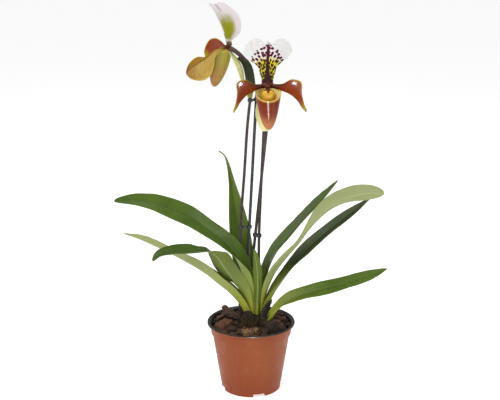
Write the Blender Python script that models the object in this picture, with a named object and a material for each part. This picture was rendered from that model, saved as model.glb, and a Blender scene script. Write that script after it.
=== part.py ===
"""A slipper orchid (Paphiopedilum) in a 12 cm plastic nursery pot.

Metres, +Z up, +X to the viewer's right and +Y away from the viewer. The origin is the middle of the pot's
underside. Routes and outlines are written in millimetres and scaled once, where a mesh is made.
"""

import math
import random

import bmesh
import bpy
import numpy as np

MM = 0.001
GAP = 0.3                      # clearance between neighbours that touch

# Driving dimensions, in millimetres
POT_RIM_RADIUS = 60.0
POT_HEIGHT = 96.0
POT_WALL = 1.1
POT_SIDES = 40
COLLAR_TOP_RADIUS = 55.8
COLLAR_FOOT_RADIUS = 54.6
COLLAR_FOOT_Z = 75.5
BODY_TOP_RADIUS = 52.6
BODY_FOOT_RADIUS = 42.0
BODY_FOOT_Z = 10.0
FOOT_RADIUS = 40.6
REST_DISC_RADIUS = 14.0
FLOOR_RISE = 3.0               # the ring of the floor with the drain holes stands this high
DRAIN_RING_RADIUS = 26.0
DRAIN_HOLE_RADIUS = 3.6
DRAIN_HOLES = 6
NOTCH_WIDTH = 17.0
NOTCH_HEIGHT = 4.2
NOTCH_TURN = 16.0              # degrees from the front to the first notch

BARK_TOP = 84.0
BARK_SIDES = 24
CHIP_COUNT = 38

CROWN_TOP = 106.0              # the leaves stand on the crown at this height
CROWN_FOOT = 72.0
STUB_SIDES = 14
LEAF_THICKNESS = 1.3
PETAL_THICKNESS = 0.95
BRACT_THICKNESS = 0.9
SHEATH_THICKNESS = 1.0

STEM_RADIUS = 1.9
STAKE_RADIUS = 2.0
STEM_FOOT = 72.0               # the stems and stakes go this deep into the bark

REAR_FLOWER_SCALE = 0.93


def hermite(values, places):
    """Smooth curve through the rows of values, read at the given shares of its length (or that many of them).

    Cubic Hermite pieces whose slopes come from the neighbouring rows; length is measured on x, y, z.
    """
    if np.isscalar(places):
        places = np.linspace(0.0, 1.0, places)
    values = np.array(values, float)
    length = np.concatenate([[0.0], np.cumsum(np.linalg.norm(np.diff(values[:, :3], axis=0), axis=1))])
    slope = np.gradient(values, length, axis=0)
    at = places * length[-1]
    left = np.clip(np.searchsorted(length, at, side="right") - 1, 0, len(length) - 2)
    span = (length[left + 1] - length[left])[:, None]
    t = ((at - length[left])[:, None]) / span
    return (
        (2 * t**3 - 3 * t**2 + 1) * values[left]
        + (t**3 - 2 * t**2 + t) * span * slope[left]
        + (3 * t**2 - 2 * t**3) * values[left + 1]
        + (t**3 - t**2) * span * slope[left + 1]
    )


def unit(vectors):
    """The same directions with length 1."""
    return vectors / np.linalg.norm(vectors, axis=-1, keepdims=True)


def smooth_step(low, high, x):
    """0 below low, 1 above high, and a smooth rise between."""
    t = np.clip((x - low) / (high - low), 0.0, 1.0)
    return t * t * (3 - 2 * t)


def material(name, colour, roughness, metallic=0.0):
    """A Principled material, made once and then shared."""
    found = bpy.data.materials.get(name)
    if found:
        return found
    made = bpy.data.materials.new(name)
    made.use_nodes = True
    shader = made.node_tree.nodes["Principled BSDF"]
    shader.inputs["Base Color"].default_value = (*colour, 1.0)
    shader.inputs["Roughness"].default_value = roughness
    shader.inputs["Metallic"].default_value = metallic
    return made


def add_body(name, points, faces, finish, sharp_angle=40.0):
    """One mesh object from points in millimetres, its faces turned outwards."""
    mesh = bpy.data.meshes.new(name)
    mesh.from_pydata([tuple(p) for p in np.asarray(points, float) * MM], [], [tuple(f) for f in faces])
    shell = bmesh.new()
    shell.from_mesh(mesh)
    bmesh.ops.recalc_face_normals(shell, faces=shell.faces)
    shell.to_mesh(mesh)
    shell.free()
    mesh.materials.append(finish)
    mesh.shade_smooth()
    mesh.set_sharp_from_angle(angle=math.radians(sharp_angle))
    body = bpy.data.objects.new(name, mesh)
    bpy.context.scene.collection.objects.link(body)
    return body


def cut(body, cutters, operation="DIFFERENCE", solver="EXACT"):
    """Apply one Boolean with each of the cutters, then remove them."""
    for cutter in cutters:
        step = body.modifiers.new("cut", "BOOLEAN")
        step.operation = operation
        step.solver = solver
        step.object = cutter
        bpy.context.view_layer.update()
        graph = bpy.context.evaluated_depsgraph_get()
        mesh = bpy.data.meshes.new_from_object(body.evaluated_get(graph))
        body.modifiers.clear()
        body.data = mesh
        bpy.data.objects.remove(cutter, do_unlink=True)
    return body


def keep_largest(body):
    """Drop loose scraps: keep only the connected piece with the most faces."""
    shell = bmesh.new()
    shell.from_mesh(body.data)
    bmesh.ops.remove_doubles(shell, verts=shell.verts, dist=0.00001)
    bmesh.ops.dissolve_degenerate(shell, edges=shell.edges, dist=0.00001)
    left = set(shell.verts)
    groups = []
    while left:
        group = {left.pop()}
        edge_of_group = list(group)
        while edge_of_group:
            vert = edge_of_group.pop()
            for edge in vert.link_edges:
                other = edge.other_vert(vert)
                if other in left:
                    left.discard(other)
                    group.add(other)
                    edge_of_group.append(other)
        groups.append(group)
    groups.sort(key=len)
    for group in groups[:-1]:
        bmesh.ops.delete(shell, geom=list(group), context="VERTS")
    bmesh.ops.triangulate(shell, faces=shell.faces)
    shell.to_mesh(body.data)
    shell.free()
    return body


def turned(name, profile, finish, sides=POT_SIDES, sharp_angle=30.0):
    """A body turned round the Z axis from a closed outline of (radius, height), poles allowed."""
    turn = np.arange(sides) * 2 * math.pi / sides
    points, rings = [], []
    for radius, height in profile:
        if radius < 1e-6:
            rings.append([len(points)] * sides)
            points.append((0.0, 0.0, height))
        else:
            rings.append(list(range(len(points), len(points) + sides)))
            points.extend(np.stack([radius * np.cos(turn), radius * np.sin(turn),
                                    np.full(sides, height)], axis=1))
    faces = []
    for ring, following in zip(rings, rings[1:] + rings[:1]):
        for k in range(sides):
            corners = [ring[k], ring[(k + 1) % sides], following[(k + 1) % sides], following[k]]
            face = list(dict.fromkeys(corners))
            if len(face) > 2:
                faces.append(face)
    return add_body(name, points, faces, finish, sharp_angle)


def tube(name, route, radii, finish, sides=8, stations=10):
    """A round bar along a smooth route, with flat ends; radii follow the route's points."""
    radii = np.broadcast_to(np.asarray(radii, float), (len(route),))
    path = hermite(np.column_stack([np.array(route, float), radii]), stations)
    centre, radius = path[:, :3], path[:, 3]
    along = unit(np.gradient(centre, axis=0))
    side = unit(np.cross(along, np.array([0.0, 1.0, 0.02])))
    other = np.cross(along, side)
    turn = np.arange(sides) * 2 * math.pi / sides
    ring = (np.cos(turn)[None, :, None] * side[:, None] + np.sin(turn)[None, :, None] * other[:, None])
    points = (centre[:, None] + ring * radius[:, None, None]).reshape(-1, 3)
    faces = []
    for i in range(stations - 1):
        for k in range(sides):
            after = (k + 1) % sides
            faces.append((i * sides + k, i * sides + after, (i + 1) * sides + after, (i + 1) * sides + k))
    faces.append(tuple(range(sides)))
    faces.append(tuple(range((stations - 1) * sides, stations * sides)))
    return add_body(name, points, faces, finish)


def thin_body(name, middle, thickness, finish, margin=0.65):
    """A blade from a grid of points on its middle surface.

    Each face lies half a thickness off the middle along the surface's normal, both faces are split into
    the same triangles, and the rim is closed. The margins have the share `margin` of the thickness.
    """
    rows, columns = middle.shape[:2]
    normal = unit(np.cross(np.gradient(middle, axis=0), np.gradient(middle, axis=1)))
    across = np.abs(np.linspace(-1, 1, columns))[None, :, None]
    half = 0.5 * thickness * (1 - (1 - margin) * across**2)
    front, back = middle + normal * half, middle - normal * half
    points = np.concatenate([front.reshape(-1, 3), back.reshape(-1, 3)])
    size = rows * columns
    index = np.arange(size).reshape(rows, columns)
    a, b, c, d = index[:-1, :-1], index[:-1, 1:], index[1:, 1:], index[1:, :-1]
    split = np.concatenate([np.stack([a, b, c], -1).reshape(-1, 3), np.stack([a, c, d], -1).reshape(-1, 3)])
    rim = np.concatenate([index[0, :-1], index[:-1, -1], index[-1, :0:-1], index[:0:-1, 0]])
    after = np.roll(rim, -1)
    edge = np.concatenate([np.stack([rim, rim + size, after + size], -1),
                           np.stack([rim, after + size, after], -1)])
    faces = np.concatenate([split, split[:, ::-1] + size, edge])
    return add_body(name, points, faces.tolist(), finish, sharp_angle=70.0)


def folded_section(half, opening, nest, columns):
    """Sideways and upward offsets across a folded blade.

    The section is an arc of radius `nest` at the keel and a straight wing on each side, which makes the
    angle `opening` (degrees) with the way the upper face looks: 0 is folded shut, 90 is flat.
    """
    share = np.linspace(-1, 1, columns)[None, :]
    reach = np.abs(share) * half[:, None]
    swing = math.pi / 2 - np.radians(opening)[:, None]
    arc = nest[:, None] * swing
    on_arc = np.minimum(reach, arc) / nest[:, None]
    past = np.maximum(reach - arc, 0.0)
    sideways = nest[:, None] * np.sin(on_arc) + past * np.cos(swing)
    upward = nest[:, None] * (1 - np.cos(on_arc)) + past * np.sin(swing)
    return np.sign(share) * sideways, upward


def strap_outline(place, foot, tip_start, blunt):
    """Half width along a strap leaf, as a share of the widest: `foot` at its foot, and from `tip_start` on
    (1 - t^2)^blunt, which is round for 0.5 and pointed above 1."""
    rise = foot + (1 - foot) * smooth_step(0.0, 0.28, place)
    past = np.clip((place - tip_start) / (1 - tip_start), 0.0, 1.0)
    return rise * np.maximum(np.maximum(1 - past**2, 0.0) ** blunt, 0.07)


def blade(name, rows, finish, half, foot=0.6, tip_start=0.55, blunt=0.55, wave=0.8, waves=3.0, stations=14,
          columns=7, thickness=LEAF_THICKNESS):
    """A folded, arching blade such as a leaf, a sheath or a bract.

    Each row gives the keel's x, y, z, the way the upper face looks (x, y, z), the opening in degrees and
    the radius of the fold at the keel. The margins wave gently along the length, and the stations crowd
    towards the tip so that it's round.
    """
    place = 1 - (1 - np.linspace(0, 1, stations)) ** 1.3
    line = hermite(rows, place)
    keel, looks, opening, nest = line[:, :3], line[:, 3:6], line[:, 6], line[:, 7]
    along = unit(np.gradient(keel, axis=0))
    up = unit(looks - along * np.sum(looks * along, axis=1, keepdims=True))
    side = np.cross(along, up)
    width = half * strap_outline(place, foot, tip_start, blunt)
    sideways, upward = folded_section(width, np.clip(opening, 2.0, 90.0), np.maximum(nest, 1.0), columns)
    share = np.linspace(-1, 1, columns)[None, :]
    calm = smooth_step(0.15, 0.4, place)[:, None] * share**2
    ripple = wave * calm * np.sin(2 * math.pi * waves * place[:, None] + 1.3 * np.sign(share))
    middle = keel[:, None] + side[:, None] * sideways[..., None] + up[:, None] * (upward + ripple)[..., None]
    return thin_body(name, middle, thickness, finish)


# Each leaf, foot to tip: keel x, y, z | the way the upper face looks | opening | fold radius
LEAVES = {
    # the big one on the left, arching over with its upper face to the viewer
    "leaf_1": dict(half=16.5, foot=0.5, tip_start=0.62, rows=[
        (0.5, 0, 106, 1, 0, 0.1, 4, 3.5), (-4, 1.5, 136, 0.95, -0.05, 0.3, 8, 3.8),
        (-11, 1, 163, 0.85, -0.15, 0.4, 25, 4), (-20, -3, 187, 0.7, -0.35, 0.6, 50, 5),
        (-39, -7, 213, 0.5, -0.5, 0.75, 74, 6), (-59, -9, 229.5, 0.4, -0.55, 0.75, 80, 6),
        (-81, -12, 246, 0.3, -0.6, 0.75, 81, 6), (-104, -14, 257, 0.15, -0.63, 0.77, 81, 6),
        (-130, -16, 267, 0, -0.62, 0.8, 80, 6), (-155, -18, 271, -0.05, -0.55, 0.85, 78, 6),
        (-179, -20, 270.5, -0.1, -0.45, 0.9, 76, 6)]),
    # the upright one behind the stems, its tip curled to the left
    "leaf_2": dict(half=17, foot=0.6, tip_start=0.45, blunt=1.2, rows=[
        (-5, 38, 102, 0.1, -1, 0, 20, 4), (-6.5, 39, 140, 0.1, -1, 0, 45, 4),
        (-12, 40, 175, 0.15, -1, 0.1, 60, 5), (-18, 41, 219, 0.25, -1, 0.1, 64, 5),
        (-23.5, 43, 255, 0.35, -0.95, 0.2, 60, 5), (-27.5, 46, 283, 0.3, -0.9, 0.2, 55, 5),
        (-32, 50, 305, 0.1, -0.95, 0.3, 55, 5), (-37, 54, 316, 0, -0.9, 0.4, 55, 4),
        (-44, 58, 320.5, 0, -0.7, 0.7, 55, 4)]),
    # the low one on the left, its pale underside to the viewer
    "leaf_3": dict(half=16.5, foot=0.8, tip_start=0.65, rows=[
        (-7.5, -1, 106, 0.9, 0, 0.4, 4, 7.5), (-15, -2.5, 121, 0.75, 0.05, 0.6, 10, 8),
        (-29, -4, 138, 0.62, 0.1, 0.75, 25, 8), (-45, -5, 152, 0.6, 0.2, 0.8, 34, 7),
        (-59, -5, 164, 0.58, 0.3, 0.8, 38, 5), (-90, -5, 184, 0.45, 0.4, 0.84, 40, 5),
        (-126, -4, 203, 0.35, 0.45, 0.88, 42, 5), (-151, -2, 214, 0.25, 0.45, 0.9, 42, 5),
        (-170, 0, 220, 0.2, 0.4, 0.9, 42, 5)]),
    # the twisted one on the left, coming towards the viewer
    "leaf_4": dict(half=15, foot=0.55, tip_start=0.6, wave=1.0, rows=[
        (-3, -0.2, 106, 0.95, 0, 0.2, 4, 5.6), (-8, -1.2, 128, 0.9, 0.25, 0.3, 10, 6),
        (-16.5, -5, 146, 0.5, 0.8, 0.4, 40, 6), (-27, -8, 162, -0.05, 0.9, 0.4, 60, 5),
        (-37, -12, 178, 0, 0.9, 0.4, 68, 5), (-45, -18, 193, 0.25, 0.75, 0.6, 72, 5),
        (-52, -24, 201.5, 0.35, 0.35, 0.85, 74, 5), (-67, -30, 204, 0.1, 0.1, 1, 75, 5),
        (-87, -34, 206, 0, -0.25, 0.95, 74, 5), (-106, -37, 206, -0.1, -0.4, 0.9, 70, 5),
        (-121, -39, 202, -0.3, -0.4, 0.85, 66, 5), (-129, -40, 195, -0.6, -0.4, 0.6, 66, 5)]),
    # the short new one in the middle
    "leaf_5": dict(half=7.5, foot=0.4, tip_start=0.35, wave=0.3, stations=10, rows=[
        (8.5, -5.5, 106, 0.1, 1, 0, 4, 1.3), (8.6, -8.8, 128, 0.1, 1, 0, 12, 1.6),
        (9, -11.5, 148, 0.1, 1, 0.1, 45, 2.4),
        (8.6, -12, 168, 0.1, 0.95, 0.2, 62, 3), (6.5, -12, 187, 0.15, 0.95, 0.25, 64, 3),
        (4, -12, 202, 0.2, 0.9, 0.3, 64, 3)]),
    # the upper one on the right
    "leaf_6": dict(half=12, foot=0.27, tip_start=0.5, rows=[
        (13, 0, 106, -1, 0, 0.1, 4, 1.5), (14.8, 0.3, 128, -0.95, 0, 0.3, 8, 2.2),
        (18.6, 0.2, 150, -0.9, -0.1, 0.4, 14, 3), (23.6, 4, 170, -0.8, -0.25, 0.5, 34, 4),
        (33.5, 10, 190, -0.7, -0.35, 0.55, 50, 5), (48, 14, 208, -0.65, -0.38, 0.6, 55, 5),
        (68, 18, 231, -0.6, -0.38, 0.6, 55, 5), (87, 23, 251, -0.6, -0.35, 0.6, 54, 5),
        (104, 27, 270, -0.6, -0.3, 0.6, 50, 5), (117, 30, 286, -0.6, -0.3, 0.6, 48, 4)]),
    # the round-tipped one on the right, rising towards the viewer with its underside showing
    "leaf_7": dict(half=13, foot=0.42, tip_start=0.86, blunt=0.5, rows=[
        (16.5, 0, 106, -1, 0, 0.1, 4, 4.8), (18.8, -0.8, 130, -0.95, 0.05, 0.3, 10, 5),
        (23.5, -4, 147, -0.85, 0.1, 0.45, 26, 5), (31.5, -8, 167, -0.75, 0.15, 0.55, 42, 5),
        (45, -15, 189, -0.7, 0.2, 0.6, 46, 5), (63, -22.5, 214, -0.6, 0.4, 0.6, 52, 5),
        (78, -30, 239, -0.45, 0.75, 0.45, 50, 6), (93, -38, 260.5, -0.25, 0.9, 0.35, 50, 7),
        (108, -45, 275, -0.1, 0.95, 0.3, 56, 8), (126, -52, 285.5, 0, 0.97, 0.25, 68, 8),
        (147, -57, 291, 0, 0.95, 0.3, 82, 8), (168, -60, 291.5, 0.05, 0.9, 0.35, 82, 8)]),
    # the dark one on the right, both halves of its upper face showing
    "leaf_8": dict(half=11.0, foot=0.66, tip_start=0.5, rows=[
        (19.9, 0, 106.3, -1, 0, 0, 4, 6.6), (24, -2, 121, -0.85, 0, 0.5, 14, 6),
        (30, -4, 135.5, -0.75, -0.1, 0.6, 30, 6), (40, -5, 152.5, -0.7, -0.25, 0.65, 48, 6),
        (57, -4, 177, -0.65, -0.42, 0.65, 60, 5), (80, -2, 203, -0.55, -0.55, 0.65, 66, 5),
        (107, -1, 227.5, -0.5, -0.58, 0.65, 68, 5), (130, 0, 245.5, -0.5, -0.55, 0.65, 66, 5),
        (146, 0, 258.5, -0.5, -0.5, 0.65, 62, 5), (158, 0, 269, -0.5, -0.5, 0.65, 60, 4)]),
    # the low one on the right, from a growth of its own
    "leaf_9": dict(half=12, foot=0.6, tip_start=0.55, rows=[
        (25, -18, 100, -0.8, -0.1, 0.6, 8, 3), (31, -18, 113, -0.75, -0.2, 0.65, 30, 4),
        (41, -18, 124, -0.6, -0.35, 0.8, 50, 4), (55, -19, 134, -0.45, -0.5, 0.8, 62, 4),
        (75, -20, 142, -0.3, -0.52, 0.82, 70, 4), (92, -21, 147, -0.25, -0.52, 0.82, 74, 4),
        (119, -21, 154.5, -0.25, -0.52, 0.82, 76, 4), (146, -21, 163, -0.3, -0.52, 0.82, 76, 4),
        (168, -20, 171, -0.3, -0.52, 0.82, 74, 4), (181, -20, 177, -0.35, -0.5, 0.82, 72, 3)]),
}

# Dry brown leaf feet round the crown, in the same form
SHEATHS = {
    "sheath_front": dict(half=9, foot=0.95, tip_start=0.5, rows=[
        (-3, -14.6, 95, 0.2, 1, 0, 30, 9), (-4, -15.4, 105, 0.2, 1, 0, 32, 9),
        (-4, -16.5, 116, 0.2, 1, 0.1, 40, 9)]),
    "sheath_old": dict(half=6, foot=0.9, tip_start=0.2, rows=[
        (15, -13.5, 96, -0.2, 1, 0, 35, 6), (19, -13.5, 112, -0.3, 1, 0, 35, 5),
        (28, -13, 131, -0.4, 0.9, 0.2, 40, 4)]),
}

# Routes of the flower stems and their stakes, foot to top
STEM_REAR = [(-15.5, 16, STEM_FOOT), (-15.5, 17, 130), (-15, 18, 180), (-14.1, 20, 226), (-9, 20, 300),
             (-4.3, 20, 370), (-0.8, 20, 402)]
STEM_FRONT = [(11, 18.5, STEM_FOOT), (10.8, 16.5, 140), (10.7, 15, 205), (13.2, 12, 280), (16, 9, 345),
              (17.2, 7, 374)]
STAKE_REAR = [(-10.2, 20, STEM_FOOT), (7.2, 26, 407)]
STAKE_FRONT = [(-8.6, 16, STEM_FOOT), (22, 19, 373)]
CLIP_HEIGHT = 4.2
CLIP_WALL = 1.5
CLIP_CLEARANCE = 0.35
CLIP_SIDES = 12
CLIPS = {
    "clip_rear_low": (STEM_REAR, STAKE_REAR, 223.0),
    "clip_rear_high": (STEM_REAR, STAKE_REAR, 397.0),
    "clip_front_low": (STEM_FRONT, STAKE_FRONT, 213.0),
    "clip_front_high": (STEM_FRONT, STAKE_FRONT, 364.0),
}

# Where each flower is: centre, turn about Z (0 looks at the viewer), scale, ovary and bract.
# `petals` names the rails of the left and the right petal;
# `sepal` is the lower sepal's swing backwards in degrees, length, half width, lean sideways and cup depth;
# `pouch` is how low its toe reaches and how far its back bulges.
FLOWERS = {
    "front": dict(centre=(20.3, -35.0, 423.8), turn=3.5, scale=1.0, sepal=(-8.0, 52.5, 13.5, -3.0, 4.0),
                  pouch=(-51.5, 0.0), petals=("folded", "folded"),
                  ovary=[(17.3, 7, 374.5), (17, 8, 388), (17.2, 6, 401), (17.6, -3, 412.5),
                         (18.8, -16, 420.5),
                         (19.8, -27, 423.4), (20.1, -33.2, 423.8)],
                  bract=[(17.1, 3.6, 371, 0, 1, 0, 6, 2.8), (16.8, 0.5, 381, 0, 1, 0.1, 12, 4.2),
                         (16.6, -4.5, 392, 0, 0.95, 0.3, 18, 4.8), (17, -9, 402, 0, 0.8, 0.6, 22, 5),
                         (17.6, -15, 409.5, 0, 0.65, 0.8, 26, 4.6), (18, -19.5, 413, 0, 0.6, 0.8, 26, 4)]),
    "rear": dict(centre=(-28.6, 15.0, 465.8), turn=-120.0, scale=REAR_FLOWER_SCALE,
                 sepal=(27.0, 48.0, 7.0, 0.0, 7.0), pouch=(-56.0, 4.5), petals=("cap", "open"),
                 ovary=[(-0.8, 20, 402.5), (0.5, 20, 416), (-0.3, 19, 430), (-5, 15.5, 444.5),
                        (-12.5, 11, 455.5),
                        (-20, 9.8, 462), (-27.1, 14.1, 465.6)],
                 bract=[(-4.1, 20.4, 400.4, 1, 0, 0, 6, 3.0), (-5.6, 20.4, 410, 1, 0, 0, 10, 4.2),
                        (-6.8, 20, 424, 0.95, 0, 0.2, 12, 4.8), (-9.4, 17, 438, 0.85, 0, 0.5, 14, 5),
                        (-12.8, 12.3, 447.5, 0.7, 0, 0.7, 20, 5), (-17.4, 10.2, 453.5, 0.6, 0, 0.8, 26, 5)]),
}

# Petal rails in the flower's own frame (x to the right of someone facing it, -y towards them): the
# folded petal turns its lower half straight back, the open one lets it hang, and the cap is short and domed.
PETAL_RAILS = {
    "folded": dict(
        upper=[(3.9, -0.5, 2.6), (10, -5, 3.2), (17.5, -11, 4.2), (29, -20, 11.0), (40, -30, 8),
               (39.8, -35, -3),
               (41.6, -39, -14), (45.0, -43, -23.5)],
        middle=[(3.9, -1.5, -1.2), (10, -7, -2.2), (18.5, -16, -4), (28, -26, -7.5), (36.5, -35, -15),
                (44.6, -43, -25.5)],
        lower=[(3.7, 0.5, -3.8), (9.6, 0, -3.2), (17, -4, -4.2), (26, -10, -7.3), (35, -24, -15.3),
               (44, -42, -26.5)]),
    "cap": dict(
        upper=[(3.9, -0.5, 2.6), (10, -7, 1.5), (16.5, -16, 1.5), (20.5, -26, 7), (25.5, -39, 9.6),
               (29, -50, 6.5), (29.8, -57.5, -3), (28.8, -59.5, -11), (27, -57, -18.5)],
        middle=[(3.9, -1.5, -1.2), (10, -8, -2), (17.5, -18, -3.5), (23, -29, -6), (26.5, -41, -10),
                (28, -51, -15), (27, -55.5, -20.5)],
        lower=[(3.7, 0.5, -3.8), (9.6, -1, -3.8), (18.5, -6, -5), (24.5, -15, -12), (27, -27, -19),
               (27.5, -40, -22.5), (27, -54, -22)]),
    "open": dict(
        upper=[(3.9, -0.5, 2.6), (10, -8, 0.6), (15, -12.5, -2.4), (19.5, -16.5, -7), (23.5, -22, -11.5),
               (31.5, -32, -11), (38, -39, -17), (42, -43, -26), (43, -44, -33)],
        middle=[(3.9, -1.5, -1.2), (12, -10, -0.8), (16.8, -13, -3.2), (20.5, -17, -7.5),
                (24.5, -22.5, -13), (32, -32, -20.5), (39.5, -40, -28.5), (42.5, -43.5, -34)],
        lower=[(3.8, -0.5, -3.8), (11, -3.5, -3.2), (21.0, -8, -8.7), (23.8, -11, -24), (24.6, -14, -35),
               (26.5, -21, -42), (32, -30, -44), (39, -39, -41), (42.5, -43.5, -35.5)]),
}

DORSAL_HALF_ANGLE = 37.0
DORSAL_HEIGHT = 62.0
DORSAL_RAISE = 1.2             # its rays meet this far above the flower's centre
DORSAL_FOOT = 2.2

# The upper sepals: how far each arches forward at DORSAL_HEIGHT, how far and from which share of the height
# its sides roll back, its outline as (angle, radius) and the distance of its side edge as (radius, distance)
DORSALS = {
    "front": dict(
        reach=20.0, roll=5.0, roll_full=1.0,
        outline=[(0.0, 56.5), (5.3, 53.0), (10.6, 59.0), (15.9, 62.0), (26.0, 61.5), (31.7, 59.0),
                 (37.0, 53.5)],
        edge=[(2.2, 7.0), (9.8, 7.5), (19.5, 9.7), (29.9, 12.6), (39.5, 22.3), (48.0, 28.5), (53.5, 31.0),
              (62.0, 33.0)]),
    "rear": dict(
        reach=25.0, roll=8.5, roll_full=0.45,
        outline=[(0.0, 58.5), (5.3, 58.0), (10.6, 60.5), (15.9, 62.0), (26.0, 61.5), (31.7, 59.0),
                 (37.0, 53.5)],
        edge=[(2.2, 7.0), (9.8, 7.5), (14.0, 10.0), (20.0, 17.5), (29.9, 24.0), (39.5, 27.0), (48.0, 28.5),
              (53.5, 29.0), (62.0, 30.0)]),
}

POUCH_HALF_WIDTH = 17.0
POUCH_HALF_DEPTH = 12.7
POUCH_FRONT_RIM = -14.8
POUCH_EAR = -5.2
POUCH_BACK_RIM = -5.6
POUCH_WALL = 1.1


def leaf_green():
    return material("leaf_green", (0.10, 0.23, 0.03), 0.42)


def make_pot():
    """Thin-walled pot: rolled lip, collar, shoulder, taper, and a foot with four notches."""
    wall = POT_WALL
    finish = material("pot_terracotta", (0.37, 0.10, 0.045), 0.5)
    outside = [
        (0.0, 0.0), (REST_DISC_RADIUS, 0.0), (REST_DISC_RADIUS + 2.0, FLOOR_RISE), (35.5, FLOOR_RISE),
        (37.5, 0.0),
        (FOOT_RADIUS, 0.0), (FOOT_RADIUS + 0.5, BODY_FOOT_Z - 1.0), (BODY_FOOT_RADIUS, BODY_FOOT_Z),
        (BODY_TOP_RADIUS, COLLAR_FOOT_Z - 1.6), (COLLAR_FOOT_RADIUS, COLLAR_FOOT_Z),
        (COLLAR_TOP_RADIUS, POT_HEIGHT - 4.4), (POT_RIM_RADIUS - 0.6, POT_HEIGHT - 3.8),
        (POT_RIM_RADIUS, POT_HEIGHT - 2.8), (POT_RIM_RADIUS, POT_HEIGHT - 1.0),
        (POT_RIM_RADIUS - 1.0, POT_HEIGHT),
    ]
    inside = [
        (POT_RIM_RADIUS - 3.0, POT_HEIGHT), (COLLAR_TOP_RADIUS - wall, POT_HEIGHT - 2.2),
        (COLLAR_FOOT_RADIUS - wall, COLLAR_FOOT_Z + 0.6), (BODY_TOP_RADIUS - wall, COLLAR_FOOT_Z - 1.2),
        (BODY_FOOT_RADIUS - wall, BODY_FOOT_Z), (FOOT_RADIUS - wall, FLOOR_RISE + 2.2),
        (36.0, FLOOR_RISE + 1.3),
        (REST_DISC_RADIUS + 1.0, FLOOR_RISE + 1.3), (REST_DISC_RADIUS - 1.0, 1.4), (0.0, 1.4),
    ]
    pot = turned("pot", outside + inside, finish)
    cutters = []
    for k in range(4):
        angle = math.radians(NOTCH_TURN - 90.0 + 90.0 * k)
        cutters.append(block("notch", (39.5 * math.cos(angle), 39.5 * math.sin(angle), 0.0),
                             (8.0, NOTCH_WIDTH, 2 * NOTCH_HEIGHT), angle))
    for k in range(DRAIN_HOLES):
        angle = 2 * math.pi * (k + 0.5) / DRAIN_HOLES
        hole = rod("drain", DRAIN_HOLE_RADIUS, -1.0, 9.0, 10)
        hole.location = tuple(DRAIN_RING_RADIUS * MM * np.array([math.cos(angle), math.sin(angle), 0.0]))
        cutters.append(hole)
    return cut(pot, cutters)


def block(name, centre, size, turn):
    """A plain box, turned about Z, used as a cutter."""
    corner = np.array([(x, y, z) for x in (-0.5, 0.5) for y in (-0.5, 0.5) for z in (-0.5, 0.5)]) * size
    faces = [(0, 1, 3, 2), (4, 6, 7, 5), (0, 4, 5, 1), (2, 3, 7, 6), (0, 2, 6, 4), (1, 5, 7, 3)]
    box = add_body(name, corner, faces, material("cutter", (0.5, 0.5, 0.5), 0.5))
    box.location = tuple(np.array(centre) * MM)
    box.rotation_euler = (0.0, 0.0, turn)
    return box


def rod(name, radius, low, high, sides=12):
    """A plain upright cylinder, used as a cutter."""
    profile = [(0.0, low), (radius, low), (radius, high), (0.0, high)]
    return turned(name, profile, material("cutter", (0.5, 0.5, 0.5), 0.5), sides)


def stub(name, centre, half, low, high, spread, grow):
    """One upright stub with an oval section, `spread` times wider at its foot; `grow` swells it evenly."""
    turn = np.arange(STUB_SIDES) * 2 * math.pi / STUB_SIDES
    low, high = low - grow, high + grow
    points = [(*centre, low)]
    for swell, height in ((spread, low), (1.0, high)):
        points.extend((centre[0] + (half[0] * swell + grow) * math.cos(t),
                       centre[1] + (half[1] * swell + grow) * math.sin(t), height) for t in turn)
    points.append((*centre, high))
    faces = []
    for k in range(STUB_SIDES):
        a, b = 1 + k, 1 + (k + 1) % STUB_SIDES
        faces += [(0, b, a), (a, b, b + STUB_SIDES, a + STUB_SIDES),
                  (a + STUB_SIDES, b + STUB_SIDES, len(points) - 1)]
    return add_body(name, points, faces, material("crown_brown", (0.06, 0.035, 0.02), 0.9))


def make_crown(grow=0.0):
    """The short creeping stem: three stubs that the leaves stand on, joined under the bark.

    `grow` swells it evenly, for the hollow that it leaves in the bark.
    """
    finish = material("crown_brown", (0.06, 0.035, 0.02), 0.9)
    crown = stub("crown", (7.0, 0.0), (17.5, 11.5), CROWN_FOOT, CROWN_TOP - GAP, 1.12, grow)
    others = [
        stub("stub_right", (25.5, -18.0), (7.0, 6.5), CROWN_FOOT + 2.0, 100.0 - GAP, 1.2, grow),
        stub("stub_rear", (-4.0, 37.0), (9.0, 7.5), CROWN_FOOT + 2.0, 102.0 - GAP, 1.15, grow),
        tube("link_right", [(6, -2, 77), (24, -17, 78)], 4.5 + grow, finish, 8, 3),
        tube("link_rear", [(4, 2, 77), (-4, 36, 78)], 4.5 + grow, finish, 8, 3),
    ]
    return keep_largest(cut(crown, others, "UNION"))


def bark_chip(draw, centre, size, turn, tilt):
    """One broken chip of bark: a box with uneven corners."""
    corner = np.array([(x, y, z) for x in (-0.5, 0.5) for y in (-0.5, 0.5) for z in (-0.5, 0.5)])
    corner = corner * (1 + np.array([[draw.uniform(-0.28, 0.22) for _ in range(3)] for _ in range(8)])) * size
    cos_turn, sin_turn = math.cos(turn), math.sin(turn)
    cos_tilt, sin_tilt = math.cos(tilt), math.sin(tilt)
    leaned = corner @ np.array([[cos_tilt, 0, sin_tilt], [0, 1, 0], [-sin_tilt, 0, cos_tilt]])
    placed = leaned @ np.array([[cos_turn, sin_turn, 0], [-sin_turn, cos_turn, 0], [0, 0, 1]]) + centre
    split = [(0, 1, 3), (0, 3, 2), (4, 6, 7), (4, 7, 5), (0, 4, 5), (0, 5, 1),
             (2, 3, 7), (2, 7, 6), (0, 2, 6), (0, 6, 4), (1, 5, 7), (1, 7, 3)]
    return add_body("chip", placed, split, material("bark_brown", (0.05, 0.03, 0.02), 0.9))


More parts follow.
